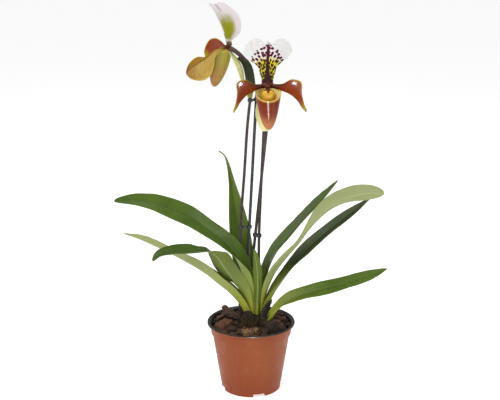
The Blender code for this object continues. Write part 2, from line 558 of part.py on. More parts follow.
def make_bark():
    """The potting mix: one plug of bark whose top is built of broken chips, with plain holes."""
    draw = random.Random(12)
    finish = material("bark_brown", (0.05, 0.03, 0.02), 0.9)
    clear = POT_WALL + GAP
    floor = FLOOR_RISE + 1.3 + GAP
    profile = [
        (0.0, floor), (34.0, floor), (BODY_FOOT_RADIUS - clear - 1.0, BODY_FOOT_Z + 1.0),
        (BODY_TOP_RADIUS - clear - 0.2, COLLAR_FOOT_Z - 1.6),
        (COLLAR_FOOT_RADIUS - clear - 0.4, COLLAR_FOOT_Z + 2.0),
        (COLLAR_FOOT_RADIUS - clear - 0.2, BARK_TOP), (0.0, BARK_TOP + 2.0),
    ]
    bark = turned("bark", profile, finish, BARK_SIDES)
    chips = []
    for k in range(CHIP_COUNT):
        radius = 46.5 * math.sqrt((k + 0.5) / CHIP_COUNT)
        angle = k * 2.39996 + draw.uniform(-0.2, 0.2)
        size = (draw.uniform(13, 24), draw.uniform(9, 14), draw.uniform(5, 8))
        height = BARK_TOP + draw.uniform(0.5, 4.5)
        chips.append(bark_chip(draw, (radius * math.cos(angle), radius * math.sin(angle), height), size,
                               draw.uniform(0, math.pi), draw.uniform(-0.4, 0.4)))
    # the chunk that leans out at the back left, and the two that show at the front
    chips.append(bark_chip(draw, (-29, 26, 95), (22, 11, 9), 0.5, -0.55))
    chips.append(bark_chip(draw, (-33, 30, 100), (17, 8, 6), 2.6, 0.5))
    chips.append(bark_chip(draw, (-5, -38, 88), (17, 12, 11), 0.3, 0.15))
    chips.append(bark_chip(draw, (-33, -20, 89), (24, 16, 8), 0.9, 0.1))
    bark = cut(bark, chips, "UNION")
    room = turned("room", [(0.0, 0.0), (60.0, 0.0), (COLLAR_FOOT_RADIUS - clear - 0.1, COLLAR_FOOT_Z),
                           (COLLAR_TOP_RADIUS - clear - 0.1, POT_HEIGHT - 2.2), (53.0, POT_HEIGHT + 14.0),
                           (0.0, POT_HEIGHT + 14.0)], finish, BARK_SIDES)
    cut(bark, [room], "INTERSECT")
    holes = [make_crown(GAP)]
    for route, radius in ((STEM_REAR, STEM_RADIUS), (STEM_FRONT, STEM_RADIUS), (STAKE_REAR, STAKE_RADIUS),
                          (STAKE_FRONT, STAKE_RADIUS)):
        foot, above = hermite(route, 12)[:2]
        slope = (above - foot) / (above[2] - foot[2])
        start = foot - slope * GAP
        holes.append(tube("hole", [start, start + slope * 45.0], radius + GAP + 0.15, finish, 10, 2))
    return keep_largest(cut(bark, holes))


def make_clip(name, stem, stake, height):
    """A small plastic clip: a ring round the stem, a ring round the stake and a bar between."""
    finish = material("clip_grey", (0.03, 0.03, 0.035), 0.4)

    def crossing(route):
        line = hermite(route, 200)
        near = int(np.argmin(np.abs(line[:, 2] - height)))
        slope = (line[near + 1] - line[near - 1]) / (line[near + 1][2] - line[near - 1][2])
        return line[near] + slope * (height - line[near][2]), slope

    stem_at, stem_slope = crossing(stem)
    stake_at, stake_slope = crossing(stake)
    half = CLIP_HEIGHT / 2

    def ring(label, at, slope, reach, radius):
        return tube(label, [at - slope * reach, at + slope * reach], radius, finish, CLIP_SIDES, 2)

    clip = ring(name, stem_at, stem_slope, half, STEM_RADIUS + CLIP_WALL)
    stake_ring = ring("ring", stake_at, stake_slope, half, STAKE_RADIUS + CLIP_WALL)
    apart = stake_at - stem_at
    middle = (stake_at + stem_at) / 2
    bar = block("bar", middle, (np.linalg.norm(apart[:2]) - 2 * STEM_RADIUS, 1.8, CLIP_HEIGHT - 1.4),
                math.atan2(apart[1], apart[0]))
    cut(clip, [stake_ring, bar], "UNION")
    holes = [ring("hole", stem_at, stem_slope, CLIP_HEIGHT, STEM_RADIUS + CLIP_CLEARANCE),
             ring("hole", stake_at, stake_slope, CLIP_HEIGHT, STAKE_RADIUS + CLIP_CLEARANCE)]
    return keep_largest(cut(clip, holes))


def place_flower(points, flower):
    """From the flower's own frame to the plant's: scale, turn about Z, move to the flower's centre."""
    turn = math.radians(flower["turn"])
    spin = np.array([[math.cos(turn), math.sin(turn), 0], [-math.sin(turn), math.cos(turn), 0], [0, 0, 1]])
    return np.asarray(points, float) * flower["scale"] @ spin + np.array(flower["centre"])


def dorsal_grid(reach, roll, roll_full, outline, edge, rows=9, columns=15):
    """The fan-shaped upper sepal: rays from its foot, notched at the top.

    A point lies at radius r on a ray; r runs from the foot to the outline's radius, and the outermost ray's
    distance from the middle follows `edge`. The fan arches forward by the cube of its height, the sides
    roll back and the two lobes are waved.
    """
    side = np.linspace(-1, 1, columns)[None, :]
    rise = np.linspace(0, 1, rows)[:, None]
    angle = np.radians(DORSAL_HALF_ANGLE) * side
    furthest = np.interp(np.abs(np.degrees(angle)), *np.array(outline).T)
    radius = DORSAL_FOOT + (furthest - DORSAL_FOOT) * rise
    half = np.interp(radius, *np.array(edge).T)
    across = half * np.sin(angle) / math.sin(math.radians(DORSAL_HALF_ANGLE))
    up = radius * np.cos(angle)
    back = roll * side**2 * smooth_step(0.1, roll_full, rise) + 1.2 * np.sin(3.0 * math.pi * side) * rise**3
    back = back + 3.0 * side**2 * np.exp(-rise * 5.0)
    forward = reach * (up / DORSAL_HEIGHT) ** 3
    return np.stack([across, back - forward - 1.8, up + DORSAL_RAISE], axis=-1)


def petal_grid(rails, rows=11, columns=7):
    """A petal spread over three rails: upper margin, midrib and lower margin."""
    upper, middle, lower = (hermite(PETAL_RAILS[rails][key], rows) for key in ("upper", "middle", "lower"))
    place = np.linspace(0, 1, rows)
    calm = smooth_step(0.15, 0.4, place) * (1 - smooth_step(0.8, 1.0, place))
    lower[:, 0] += calm * np.sin(place * 4 * math.pi)
    share = np.linspace(1, -1, columns)[None, :, None]
    reach = np.where(share > 0, upper[:, None] - middle[:, None], lower[:, None] - middle[:, None])
    spread = np.abs(share) * 0.65 + share**2 * 0.35
    swell = np.array([0.0, -1.5, 0.6]) * np.where(share > 0, share * (1 - share) * 4.0, 0.0)
    return middle[:, None] + spread * reach + swell * np.sin(math.pi * place)[:, None, None]


def lower_sepal_grid(swing, length, half_width, lean, cup, rows=8, columns=7):
    """The broad sepal behind the pouch: an egg-shaped cup that swings back by `swing` degrees."""
    place = np.linspace(0, 1, rows)[:, None]
    side = np.linspace(-1, 1, columns)[None, :]
    half = 2.2 + (half_width - 2.2) * np.sin(math.pi * np.clip(place * 0.94 + 0.02, 0, 1)) ** 0.75
    across = half * side + lean * place
    down = length * place + 0 * side
    back = (cup - 3.5 * side**2) * np.sin(math.pi * place)
    angle = math.radians(swing)
    y = 0.9 + down * math.sin(angle) + back * math.cos(angle)
    z = -4.3 - down * math.cos(angle) + back * math.sin(angle)
    return np.stack([across, y, z], axis=-1)


def pouch_rings(rows, around, inset, bottom, belly):
    """Rings of the pouch from rim to toe.

    Seen from above a ring is an ellipse. The rim is low in front, high at the two ears and joined at the
    back. Where s is the depth below the ears as a share of the whole, the half width shrinks as
    (1 - s/2)(1 - s^5)^0.5, and the rings slide forward with s. The back bulges by `belly` a third down.
    """
    turn = np.linspace(0, 2 * math.pi, around, endpoint=False)[None, :]
    t = np.sin(np.linspace(0, 1, rows)[:, None] * math.pi / 2)
    front = np.clip(-np.sin(turn), 0, 1)
    rear = np.clip(np.sin(turn), 0, 1)
    rim = POUCH_EAR + (POUCH_FRONT_RIM - POUCH_EAR) * front**0.6 + (POUCH_BACK_RIM - POUCH_EAR) * rear
    depth = rim + (bottom + inset - rim) * t
    s = np.clip((depth - POUCH_EAR) / (bottom + inset - POUCH_EAR), 0.0, 1.0)
    toe = np.sqrt(np.maximum(1 - s**5, 0.0))
    pinch = 1 - 0.45 * rear * (1 - t) ** 2
    x = (POUCH_HALF_WIDTH - inset) * np.cos(turn) * (1 - 0.5 * s) * toe * pinch
    y = -12.6 - 12.0 * s + (POUCH_HALF_DEPTH - inset) * np.sin(turn) * (1 - 0.3 * s) * toe
    y = y + belly * rear**2 * np.sin(math.pi * s**0.6)
    return np.stack([x, y, depth], axis=-1)


def pouch_mesh(bottom, belly, rows=8, around=20):
    """Points and faces of the open pouch: outer skin, rim and inner skin."""
    outer = pouch_rings(rows, around, 0.0, bottom, belly)
    inner = pouch_rings(rows, around, POUCH_WALL, bottom, belly)
    points = np.concatenate([outer[:-1].reshape(-1, 3), outer[-1:, :1].reshape(-1, 3),
                             inner[:-1].reshape(-1, 3), inner[-1:, :1].reshape(-1, 3)])
    skin = (rows - 1) * around
    faces = []
    for base, sign in ((0, 1), (skin + 1, -1)):
        for i in range(rows - 1):
            for k in range(around):
                after = (k + 1) % around
                a, b = base + i * around + k, base + i * around + after
                if i < rows - 2:
                    faces.append((a, b, b + around)[::sign])
                    faces.append((a, b + around, a + around)[::sign])
                else:
                    faces.append((a, b, base + skin)[::sign])
    for k in range(around):
        after = (k + 1) % around
        faces.append((k, skin + 1 + k, skin + 1 + after))
        faces.append((k, skin + 1 + after, after))
    return points, faces


def ball(name, centre, size, power, flower, finish, rings=6, around=8):
    """A closed egg of the given half sizes in the flower's frame; a power under 1 makes it squarer."""
    polar = np.arange(1, rings)[:, None] * math.pi / rings
    turn = np.arange(around)[None, :] * 2 * math.pi / around
    flat = np.sin(polar) ** power
    shell = np.stack([flat * np.cos(turn), flat * np.sin(turn), np.cos(polar) + 0 * turn], axis=-1)
    points = np.concatenate([[[0, 0, 1.0]], shell.reshape(-1, 3), [[0, 0, -1.0]]]) * size + centre
    last = len(points) - 1
    faces = []
    for k in range(around):
        after = (k + 1) % around
        faces.append((0, 1 + k, 1 + after))
        faces.append((last, last - around + after, last - around + k))
        for i in range(rings - 2):
            a, b = 1 + i * around + k, 1 + i * around + after
            faces.append((a, a + around, b + around, b))
    return add_body(name, place_flower(points, flower), faces, finish)


def make_column(name, flower):
    """The knob that carries stamens and stigma, with the shield in front of the pouch's mouth."""
    finish = material("shield_yellow", (0.62, 0.36, 0.03), 0.4)
    knob = ball(name, (0, -2.6, -0.2), (3.4, 3.6, 3.3), 1.0, flower, finish)
    lobe = ball("lobe", (0, -7.8, -4.4), (2.8, 5.4, 3.4), 1.0, flower, finish)
    shield = ball("shield", (0, -12.6, -9.6), (6.9, 2.0, 6.6), 0.75, flower, finish)
    return keep_largest(cut(knob, [lobe, shield], "UNION"))


def make_flower(key):
    """All the parts of one flower, each its own object."""
    flower = FLOWERS[key]
    mahogany = material("petal_mahogany", (0.30, 0.07, 0.02), 0.25)
    sepal = material("sepal_white_green", (0.62, 0.60, 0.42), 0.45)
    pouch = material("pouch_mahogany", (0.28, 0.08, 0.04), 0.22)
    pale = material("sepal_pale_green", (0.50, 0.52, 0.20), 0.45)
    grid = dorsal_grid(**DORSALS[key])
    thin_body(key + "_dorsal_sepal", place_flower(grid, flower), PETAL_THICKNESS, sepal)
    for side_name, side, rails in (("left", -1, flower["petals"][0]), ("right", 1, flower["petals"][1])):
        grid = petal_grid(rails) * np.array([side, 1, 1])
        thin_body(f"{key}_{side_name}_petal", place_flower(grid, flower), PETAL_THICKNESS, mahogany)
    grid = lower_sepal_grid(*flower["sepal"])
    thin_body(key + "_lower_sepal", place_flower(grid, flower), PETAL_THICKNESS, pale)
    points, faces = pouch_mesh(*flower["pouch"])
    add_body(key + "_pouch", place_flower(points, flower), faces, pouch)
    make_column(key + "_column", flower)
    swell = np.array([1.9, 2.3, 2.7, 2.9, 2.9, 3.0, 3.4]) * flower["scale"]
    tube(key + "_ovary", flower["ovary"], swell, material("ovary_purple", (0.07, 0.03, 0.03), 0.7), 8, 10)
    blade(key + "_bract", flower["bract"], leaf_green(), half=14.5, foot=0.55, tip_start=0.6, wave=0.0,
          stations=10, thickness=BRACT_THICKNESS)


def clear_scene():
    for old in list(bpy.data.objects):
        bpy.data.objects.remove(old, do_unlink=True)


def main():
    clear_scene()
    make_pot()
    make_bark()
    make_crown()
    for name, leaf in LEAVES.items():
        blade(name, finish=leaf_green(), **leaf)
    for name, sheath in SHEATHS.items():
        blade(name, finish=material("sheath_brown", (0.05, 0.035, 0.02), 0.9), stations=6,
              thickness=SHEATH_THICKNESS, wave=0.0, **sheath)
    stem = material("stem_maroon", (0.05, 0.022, 0.018), 0.6)
    stake = material("stake_black", (0.012, 0.012, 0.013), 0.4)
    tube("stem_rear", STEM_REAR, STEM_RADIUS, stem)
    tube("stem_front", STEM_FRONT, STEM_RADIUS, stem)
    tube("stake_rear", STAKE_REAR, STAKE_RADIUS, stake, stations=2)
    tube("stake_front", STAKE_FRONT, STAKE_RADIUS, stake, stations=2)
    for name, (stem_route, stake_route, height) in CLIPS.items():
        make_clip(name, stem_route, stake_route, height)
    for key in FLOWERS:
        make_flower(key)


main()
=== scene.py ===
# %% [markdown]
# # A slipper orchid in its nursery pot
# The plant has leaves folded along a keel, two flowers on tall stems and a pot of bark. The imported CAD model
# gives the place and the main shape of every piece. Each step below works the same shapes out again with many
# more points, so that keels, grooves, ribs and broken bark can be seen, and gives them their finish.

import math
import random

import bmesh
import bpy
import numpy as np
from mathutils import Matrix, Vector


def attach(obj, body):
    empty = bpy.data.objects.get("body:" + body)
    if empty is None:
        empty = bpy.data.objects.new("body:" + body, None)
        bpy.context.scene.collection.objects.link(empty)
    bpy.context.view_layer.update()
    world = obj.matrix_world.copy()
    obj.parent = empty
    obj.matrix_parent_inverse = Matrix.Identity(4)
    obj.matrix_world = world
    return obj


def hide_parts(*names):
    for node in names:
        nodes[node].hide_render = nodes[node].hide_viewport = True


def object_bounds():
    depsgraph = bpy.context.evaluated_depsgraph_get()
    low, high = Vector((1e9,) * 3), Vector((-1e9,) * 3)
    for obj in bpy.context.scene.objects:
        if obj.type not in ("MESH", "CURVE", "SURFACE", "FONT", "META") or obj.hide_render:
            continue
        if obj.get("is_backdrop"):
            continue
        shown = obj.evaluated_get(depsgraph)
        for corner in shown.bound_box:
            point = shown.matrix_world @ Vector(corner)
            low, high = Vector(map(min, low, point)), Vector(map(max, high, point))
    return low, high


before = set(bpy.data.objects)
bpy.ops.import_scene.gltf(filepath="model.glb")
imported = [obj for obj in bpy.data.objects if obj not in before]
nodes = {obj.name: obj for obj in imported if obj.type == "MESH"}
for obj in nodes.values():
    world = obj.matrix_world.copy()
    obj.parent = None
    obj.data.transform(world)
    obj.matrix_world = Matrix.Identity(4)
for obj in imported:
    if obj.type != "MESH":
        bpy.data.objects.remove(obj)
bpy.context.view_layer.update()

MM = 0.001


def srgb(red, green, blue):
    """A colour given in 0 to 255 as the eye reads it, as the linear values that a shader needs."""
    value = np.array([red, green, blue]) / 255.0
    return tuple(np.where(value <= 0.04045, value / 12.92, ((value + 0.055) / 1.055) ** 2.4)) + (1.0,)


# %% [markdown]
# ## The camera
# The pot's rim is a circle, and how flat its ellipse looks tells how far the camera looks down: about 15
# degrees. A long lens from 1.3 m away keeps the verticals upright, as a product photographer would.

# %% Camera
camera = bpy.data.objects.new("camera", bpy.data.cameras.new("camera"))
camera.location = (-0.0015, -1.3, 0.610)
camera.rotation_euler = (math.radians(75.2), 0.0, 0.0)
camera.data.sensor_width = 36.0
camera.data.lens = 72.86
camera.data.clip_start = 0.05
bpy.context.scene.collection.objects.link(camera)
bpy.context.scene.camera = camera
bpy.context.scene.view_settings.view_transform = "Standard"
print("camera height in mm:", round(1000 * camera.location.z))

# %% [markdown]
# ## Floor and light
# A very pale floor and a nearly white world stand for the photographer's sweep. A large soft box high on the
# left is the main light, a weaker one on the right opens the shadows, and a third lies overhead. Three small
# ones show in glossy reflections only: they make the white glints on the petals and the pouches.

# %% Floor and light
FLOOR_HALF = 12.0
FLOOR_Z = -0.0002
WORLD_LIGHT, WORLD_SEEN = 0.38, 1.0     # how strongly the world lights things, and how bright it looks


def soft_box(name, place, aim, size, power):
    """An area light at `place` that looks at `aim`."""
    light = bpy.data.objects.new(name, bpy.data.lights.new(name, "AREA"))
    light.data.shape = "RECTANGLE"
    light.data.size, light.data.size_y = size
    light.data.energy = power
    light.location = place
    light.rotation_euler = (Vector(aim) - Vector(place)).to_track_quat("-Z", "Y").to_euler()
    bpy.context.scene.collection.objects.link(light)
    return light


soft_box("key_light", (-1.0, -1.3, 1.5), (0, 0, 0.28), (0.9, 0.9), 19)
soft_box("fill_light", (1.5, -1.2, 0.8), (0, 0, 0.25), (1.0, 1.2), 5)
soft_box("top_light", (0.1, 0.5, 1.7), (0, 0, 0.3), (1.0, 0.7), 9)
for name, place, size, power in (("left_glint", (-1.15, -0.43, 1.23), (0.16, 0.16), 9),
                                 ("right_glint", (1.25, -0.24, 1.18), (0.17, 0.17), 9),
                                 ("front_glint", (0.08, -1.7, 0.60), (0.24, 0.8), 25)):
    glint = soft_box(name, place, (0.02, 0, 0.42), size, power)
    glint.visible_diffuse = False

world = bpy.data.worlds.new("studio")
world.use_nodes = True
sky = world.node_tree
backdrop = sky.nodes["Background"].inputs
backdrop["Color"].default_value = (1.0, 1.0, 1.0, 1.0)
bright = sky.nodes.new("ShaderNodeMapRange")
bright.inputs["To Min"].default_value = WORLD_LIGHT
bright.inputs["To Max"].default_value = WORLD_SEEN
sky.links.new(sky.nodes.new("ShaderNodeLightPath").outputs["Is Camera Ray"], bright.inputs["Value"])
sky.links.new(bright.outputs[0], backdrop["Strength"])
bpy.context.scene.world = world

floor_mesh = bpy.data.meshes.new("floor")
corners = [(x * FLOOR_HALF, y * FLOOR_HALF, FLOOR_Z) for x, y in ((-1, -1), (1, -1), (1, 1), (-1, 1))]
floor_mesh.from_pydata(corners, [], [(0, 1, 2, 3)])
floor = bpy.data.objects.new("floor", floor_mesh)
bpy.context.scene.collection.objects.link(floor)
floor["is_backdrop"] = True

# %% [markdown]
# ## Small tools for shader nodes
# A procedural finish is a tree of nodes. These few functions place a node, link what it needs and hand back
# its output, so that a finish reads from top to bottom like a recipe.

# %% Shader tools


class Value:
    """A shader node's output that can stand in a sum like a number: each step places one Math node."""

    def __init__(self, socket):
        self.socket, self.tree = socket, socket.id_data

    def __add__(self, other):
        return calc("ADD", self, other)

    def __sub__(self, other):
        return calc("SUBTRACT", self, other)

    def __rsub__(self, other):
        return calc("SUBTRACT", other, self)

    def __mul__(self, other):
        return calc("MULTIPLY", self, other)

    def __pow__(self, other):
        return calc("POWER", self, other)

    def __abs__(self):
        return calc("ABSOLUTE", self)


def feed(value, socket):
    """Link a Value to a socket, or set a plain value on it: a colour's three numbers go from 0 to 255."""
    if isinstance(value, Value):
        value.tree.links.new(value.socket, socket)
    elif socket.type == "RGBA" and len(value) == 3:
        socket.default_value = srgb(*value)
    else:
        socket.default_value = value


def place_node(tree, kind, inputs=None, output=0, **settings):
    """One output of a new shader node. `inputs` maps socket names or numbers to Values or plain values."""
    made = tree.nodes.new("ShaderNode" + kind)
    for key, value in settings.items():
        setattr(made, key, value)
    for key, value in (inputs or {}).items():
        feed(value, made.inputs[key])
    return Value(made.outputs[output])


def calc(operation, first, second=0.0):
    """One step of arithmetic on values."""
    tree = (first if isinstance(first, Value) else second).tree
    return place_node(tree, "Math", {0: first, 1: second}, operation=operation)


def rise(value, low, high, end=1.0, start=0.0):
    """`start` below low, `end` above high and a smooth change between."""
    limits = {"Value": value, "From Min": low, "From Max": high, "To Min": start, "To Max": end}
    return place_node(value.tree, "MapRange", limits, interpolation_type="SMOOTHSTEP")


def fall(value, low, high, start=1.0):
    """`start` below low and 0 above high."""
    return rise(value, low, high, 0.0, start)


def spread(noise, start, end):
    """From `start` to `end` while a noise goes through its usual range."""
    return rise(noise, 0.2, 0.8, end, start)


def blend(share, first, second):
    """The first colour where share is 0 and the second where it's 1."""
    return place_node(share.tree, "Mix", {0: share, 6: first, 7: second}, 2, data_type="RGBA")


def paint(colour, *coats):
    """Coats of paint on a colour, each given as how much it covers and its own colour."""
    for share, coat in coats:
        colour = blend(share, colour, coat)
    return colour


def cloud(vector, scale, detail=3.0, rough=0.55):
    """Soft noise from 0 to 1."""
    return place_node(vector.tree, "TexNoise", {"Vector": vector, "Scale": scale, "Detail": detail,
                                                "Roughness": rough}, "Fac")


def cells(vector, randomness=1.0, **settings):
    """How far a point is from the middle of its cell in a random pattern, or from the cell's edge."""
    return place_node(vector.tree, "TexVoronoi", {"Vector": vector, "Scale": 1.0, "Randomness": randomness},
                      "Distance", **settings)


def stretched(vector, scale):
    """The same coordinates, made larger or smaller along each axis."""
    return place_node(vector.tree, "Mapping", {"Vector": vector, "Scale": scale})


def surface_uv(tree):
    """The piece's own UV map: as a vector, and its two numbers."""
    uv = place_node(tree, "UVMap", uv_map="uv")
    return uv, place_node(tree, "SeparateXYZ", {0: uv}), place_node(tree, "SeparateXYZ", {0: uv}, 1)


def mark(tree, name):
    """A number stored on the piece's points."""
    return place_node(tree, "Attribute", None, "Fac", attribute_name=name)


def in_object(tree):
    """Places in the object's own metres."""
    return place_node(tree, "TexCoord", None, "Object")


def new_group(name, inputs, outputs):
    """An empty node group with named sockets. Returns it, what it's given and where its results go."""
    group = bpy.data.node_groups.new(name, "ShaderNodeTree")
    for label, value in inputs.items():
        kind = "NodeSocketColor" if isinstance(value, tuple) else "NodeSocketFloat"
        socket = group.interface.new_socket(label, in_out="INPUT", socket_type=kind)
        socket.default_value = srgb(*value) if isinstance(value, tuple) else value
    for label, kind in outputs.items():
        group.interface.new_socket(label, in_out="OUTPUT", socket_type="NodeSocket" + kind)
    given = {socket.name: Value(socket) for socket in group.nodes.new("NodeGroupInput").outputs}
    return group, given, group.nodes.new("NodeGroupOutput").inputs


def use_group(tree, group, **values):
    """A node that holds the group, with this material's own values. Underscores stand for spaces."""
    made = tree.nodes.new("ShaderNodeGroup")
    made.node_tree = group
    for key, value in values.items():
        feed(value, made.inputs[key.replace("_", " ")])
    return [Value(socket) for socket in made.outputs]


def new_material(name, **fixed):
    """A material with its Principled shader, whose constant values are set on the shader itself."""
    made = bpy.data.materials.new(name)
    made.use_nodes = True
    shader = made.node_tree.nodes["Principled BSDF"]
    for key, value in fixed.items():
        feed(value, shader.inputs[key.replace("_", " ")])
    print("finish:", name)
    return made, made.node_tree, shader


def finish_with(shader, colour, roughness=None, height=None, relief=0.0002, strength=0.5):
    """Link colour, roughness and a bump whose full height is `relief` metres."""
    feed(colour, shader.inputs["Base Color"])
    if roughness is not None:
        feed(roughness, shader.inputs["Roughness"])
    if height is not None:
        feed(place_node(height.tree, "Bump", {"Height": height, "Strength": strength, "Distance": relief}),
             shader.inputs["Normal"])


floor_finish, tree, shader = new_material("floor_paper", Roughness=0.7, Specular_IOR_Level=0.2,
                                          Emission_Color=(1, 1, 1, 1), Emission_Strength=0.6)
grain = cloud(in_object(tree), 900.0, 2.0)
paper = blend(grain, (0.90, 0.90, 0.90, 1), (0.93, 0.93, 0.93, 1))
finish_with(shader, paper, rise(grain, 0.0, 1.0, 0.8, 0.6))
floor_mesh.materials.append(floor_finish)

# %% [markdown]
# ## Curves and grids
# Everything that grows here is a curve with something carried along it. The curve passes through a few rows
# of numbers. Its slopes come from the neighbouring rows, so that it never swings wide.

# %% Curves and grids


def cubic(known, value, at):
    """Cubic Hermite pieces through known places and their values, with slopes from the neighbouring rows."""
    slope = np.gradient(value, known, axis=0)
    left = np.clip(np.searchsorted(known, at, side="right") - 1, 0, len(known) - 2)
    span = known[left + 1] - known[left]
    t = (at - known[left]) / span
    if value.ndim > 1:
        span, t = span[:, None], t[:, None]
    return ((2 * t**3 - 3 * t**2 + 1) * value[left] + (t**3 - 2 * t**2 + t) * span * slope[left]
            + (3 * t**2 - 2 * t**3) * value[left + 1] + (t**3 - t**2) * span * slope[left + 1])


def hermite(values, places):
    """Smooth curve through the rows of values, read at the given shares of its length (or that many of them).

    Length is measured on x, y, z.
    """
    if np.isscalar(places):
        places = np.linspace(0.0, 1.0, places)
    values = np.array(values, float)
    length = np.concatenate([[0.0], np.cumsum(np.linalg.norm(np.diff(values[:, :3], axis=0), axis=1))])
    return cubic(length, values, places * length[-1])


def through(table, x):
    """A smooth curve through a table of (x, value), which stays at its end values outside the table."""
    known, value = np.array(table, float).T
    return cubic(known, value, np.clip(x, known[0], known[-1]))


def unit(vectors):
    """The same directions with length 1."""
    return vectors / np.linalg.norm(vectors, axis=-1, keepdims=True)


def turned(points, angle):
    """Points turned about the upright axis."""
    c, s = math.cos(angle), math.sin(angle)
    return points @ np.array([[c, s, 0], [-s, c, 0], [0, 0, 1]])


def circle(count):
    """So many angles, spread evenly over a full turn."""
    return np.arange(count) * 2 * math.pi / count


def smooth_step(low, high, x):
    """0 below low, 1 above high, and a smooth rise between."""
    t = np.clip((x - low) / (high - low), 0.0, 1.0)
    return t * t * (3 - 2 * t)


def unrest(seed, along, across, size):
    """A gentle unevenness over a surface: five sine waves of random pitch and phase, `size` mm high in all."""
    draw = np.random.default_rng(seed)
    total = np.zeros(np.broadcast(along, across).shape)
    for _ in range(5):
        pitch, skew = draw.uniform(4, 16), draw.uniform(-5, 5)
        total = total + np.sin(pitch * along + skew * across + draw.uniform(0, 6.28)) / 5
    return size * total


def make_piece(name, points, faces, finish, replaced=(), uv=None, marks=None, sharp=55.0,
               face_finish=None):
    """One finished piece from points in millimetres.

    Its faces are turned outwards, the UV map comes from one pair of numbers a point, and where a face
    crosses the seam of a round piece the second number goes on past 1.
    """
    mesh = bpy.data.meshes.new(name)
    mesh.from_pydata((np.asarray(points, float) * MM).tolist(), [], faces)
    shell = bmesh.new()
    shell.from_mesh(mesh)
    bmesh.ops.recalc_face_normals(shell, faces=shell.faces)
    shell.to_mesh(mesh)
    shell.free()
    if uv is not None:
        corner = np.empty(len(mesh.loops), np.int32)
        mesh.loops.foreach_get("vertex_index", corner)
        start = np.empty(len(mesh.polygons), np.int32)
        mesh.polygons.foreach_get("loop_start", start)
        count = np.diff(np.append(start, len(corner)))
        values = np.asarray(uv, float)[corner]
        highest = np.repeat(np.maximum.reduceat(values[:, 1], start), count)
        values[:, 1] += (highest - values[:, 1]) > 0.5
        mesh.uv_layers.new(name="uv").data.foreach_set("uv", values.astype(np.float32).ravel())
    for label, numbers in (marks or {}).items():
        mesh.attributes.new(label, "FLOAT", "POINT").data.foreach_set(
            "value", np.broadcast_to(numbers, (len(mesh.vertices),)).astype(np.float32).copy())
    for each in finish if isinstance(finish, (list, tuple)) else [finish]:
        mesh.materials.append(each)
    if face_finish is not None:
        mesh.polygons.foreach_set("material_index", np.asarray(face_finish, np.int32))
    mesh.shade_smooth()
    mesh.set_sharp_from_angle(angle=math.radians(sharp))
    piece = bpy.data.objects.new(name, mesh)
    bpy.context.scene.collection.objects.link(piece)
    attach(piece, "root")
    if replaced:
        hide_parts(*replaced)
    print(name, "faces:", len(mesh.polygons))
    return piece


def refinish(name, finish):
    """Give a CAD node that stays in sight a finish of its own."""
    nodes[name].data.materials.clear()
    nodes[name].data.materials.append(finish)
    print(name, "keeps its CAD shape")


def grid_faces(rows, columns, closed=False):
    """The four corners of every cell of a grid of points, row by row; a closed grid joins its last column."""
    index = np.arange(rows * columns).reshape(rows, columns)
    after = np.roll(index, -1, axis=1)
    if not closed:
        index, after = index[:, :-1], after[:, :-1]
    return np.stack([index[:-1], after[:-1], after[1:], index[1:]], -1).reshape(-1, 4)


def pole_faces(ring, pole):
    """Triangles between a closed ring of points and one more point."""
    return np.stack([ring, np.roll(ring, -1), np.full(len(ring), pole)], -1).tolist()


def sheet_parts(middle, upper, lower, flip=False):
    """A blade from its middle surface: `upper` mm to the side it looks to, `lower` mm to the other side.

    Returns the points, the faces with a closed rim, and a mark that is 0 on the upper face, 1 on the under.
    """
    rows, columns = middle.shape[:2]
    normal = unit(np.cross(np.gradient(middle, axis=1), np.gradient(middle, axis=0))) * (-1 if flip else 1)
    points = np.concatenate([(middle + normal * upper[..., None]).reshape(-1, 3),
                             (middle - normal * lower[..., None]).reshape(-1, 3)])
    size = rows * columns
    index = np.arange(size).reshape(rows, columns)
    quads = grid_faces(rows, columns)
    rim = np.concatenate([index[0, :-1], index[:-1, -1], index[-1, :0:-1], index[:0:-1, 0]])
    after = np.roll(rim, -1)
    edge = np.stack([rim, rim + size, after + size, after], -1)
    faces = np.concatenate([quads, quads[:, ::-1] + size, edge])
    return points, faces.tolist(), np.repeat([0.0, 1.0], size)


def sheet_uv(rows, columns):
    """Along from 0 to 1 by row and across from 0 to 1 by column, once for each face of the blade."""
    along, across = np.meshgrid(np.linspace(0, 1, rows), np.linspace(0, 1, columns), indexing="ij")
    return np.tile(np.stack([along, across], -1).reshape(-1, 2), (2, 1))


def make_sheet(name, node, middle, finish, slot, uv=None, flip=False, **marks):
    """A petal or sepal that replaces one CAD node: 0.95 mm thick at the midrib and thinner at the margin."""
    rim = np.abs(np.linspace(-1, 1, middle.shape[1]))
    thick = 0.475 * (1 - 0.35 * rim**2 - 0.35 * rim**14) + np.zeros(middle.shape[:2])
    points, faces, under = sheet_parts(middle, thick, thick, flip)
    uv = sheet_uv(*middle.shape[:2]) if uv is None else uv
    return make_piece(name, points, faces, finish, [node], uv, {"under": under, **marks})


print("curve test, middle of a bend:", hermite([(0, 0, 0), (10, 0, 10), (20, 0, 0)], 3)[1])
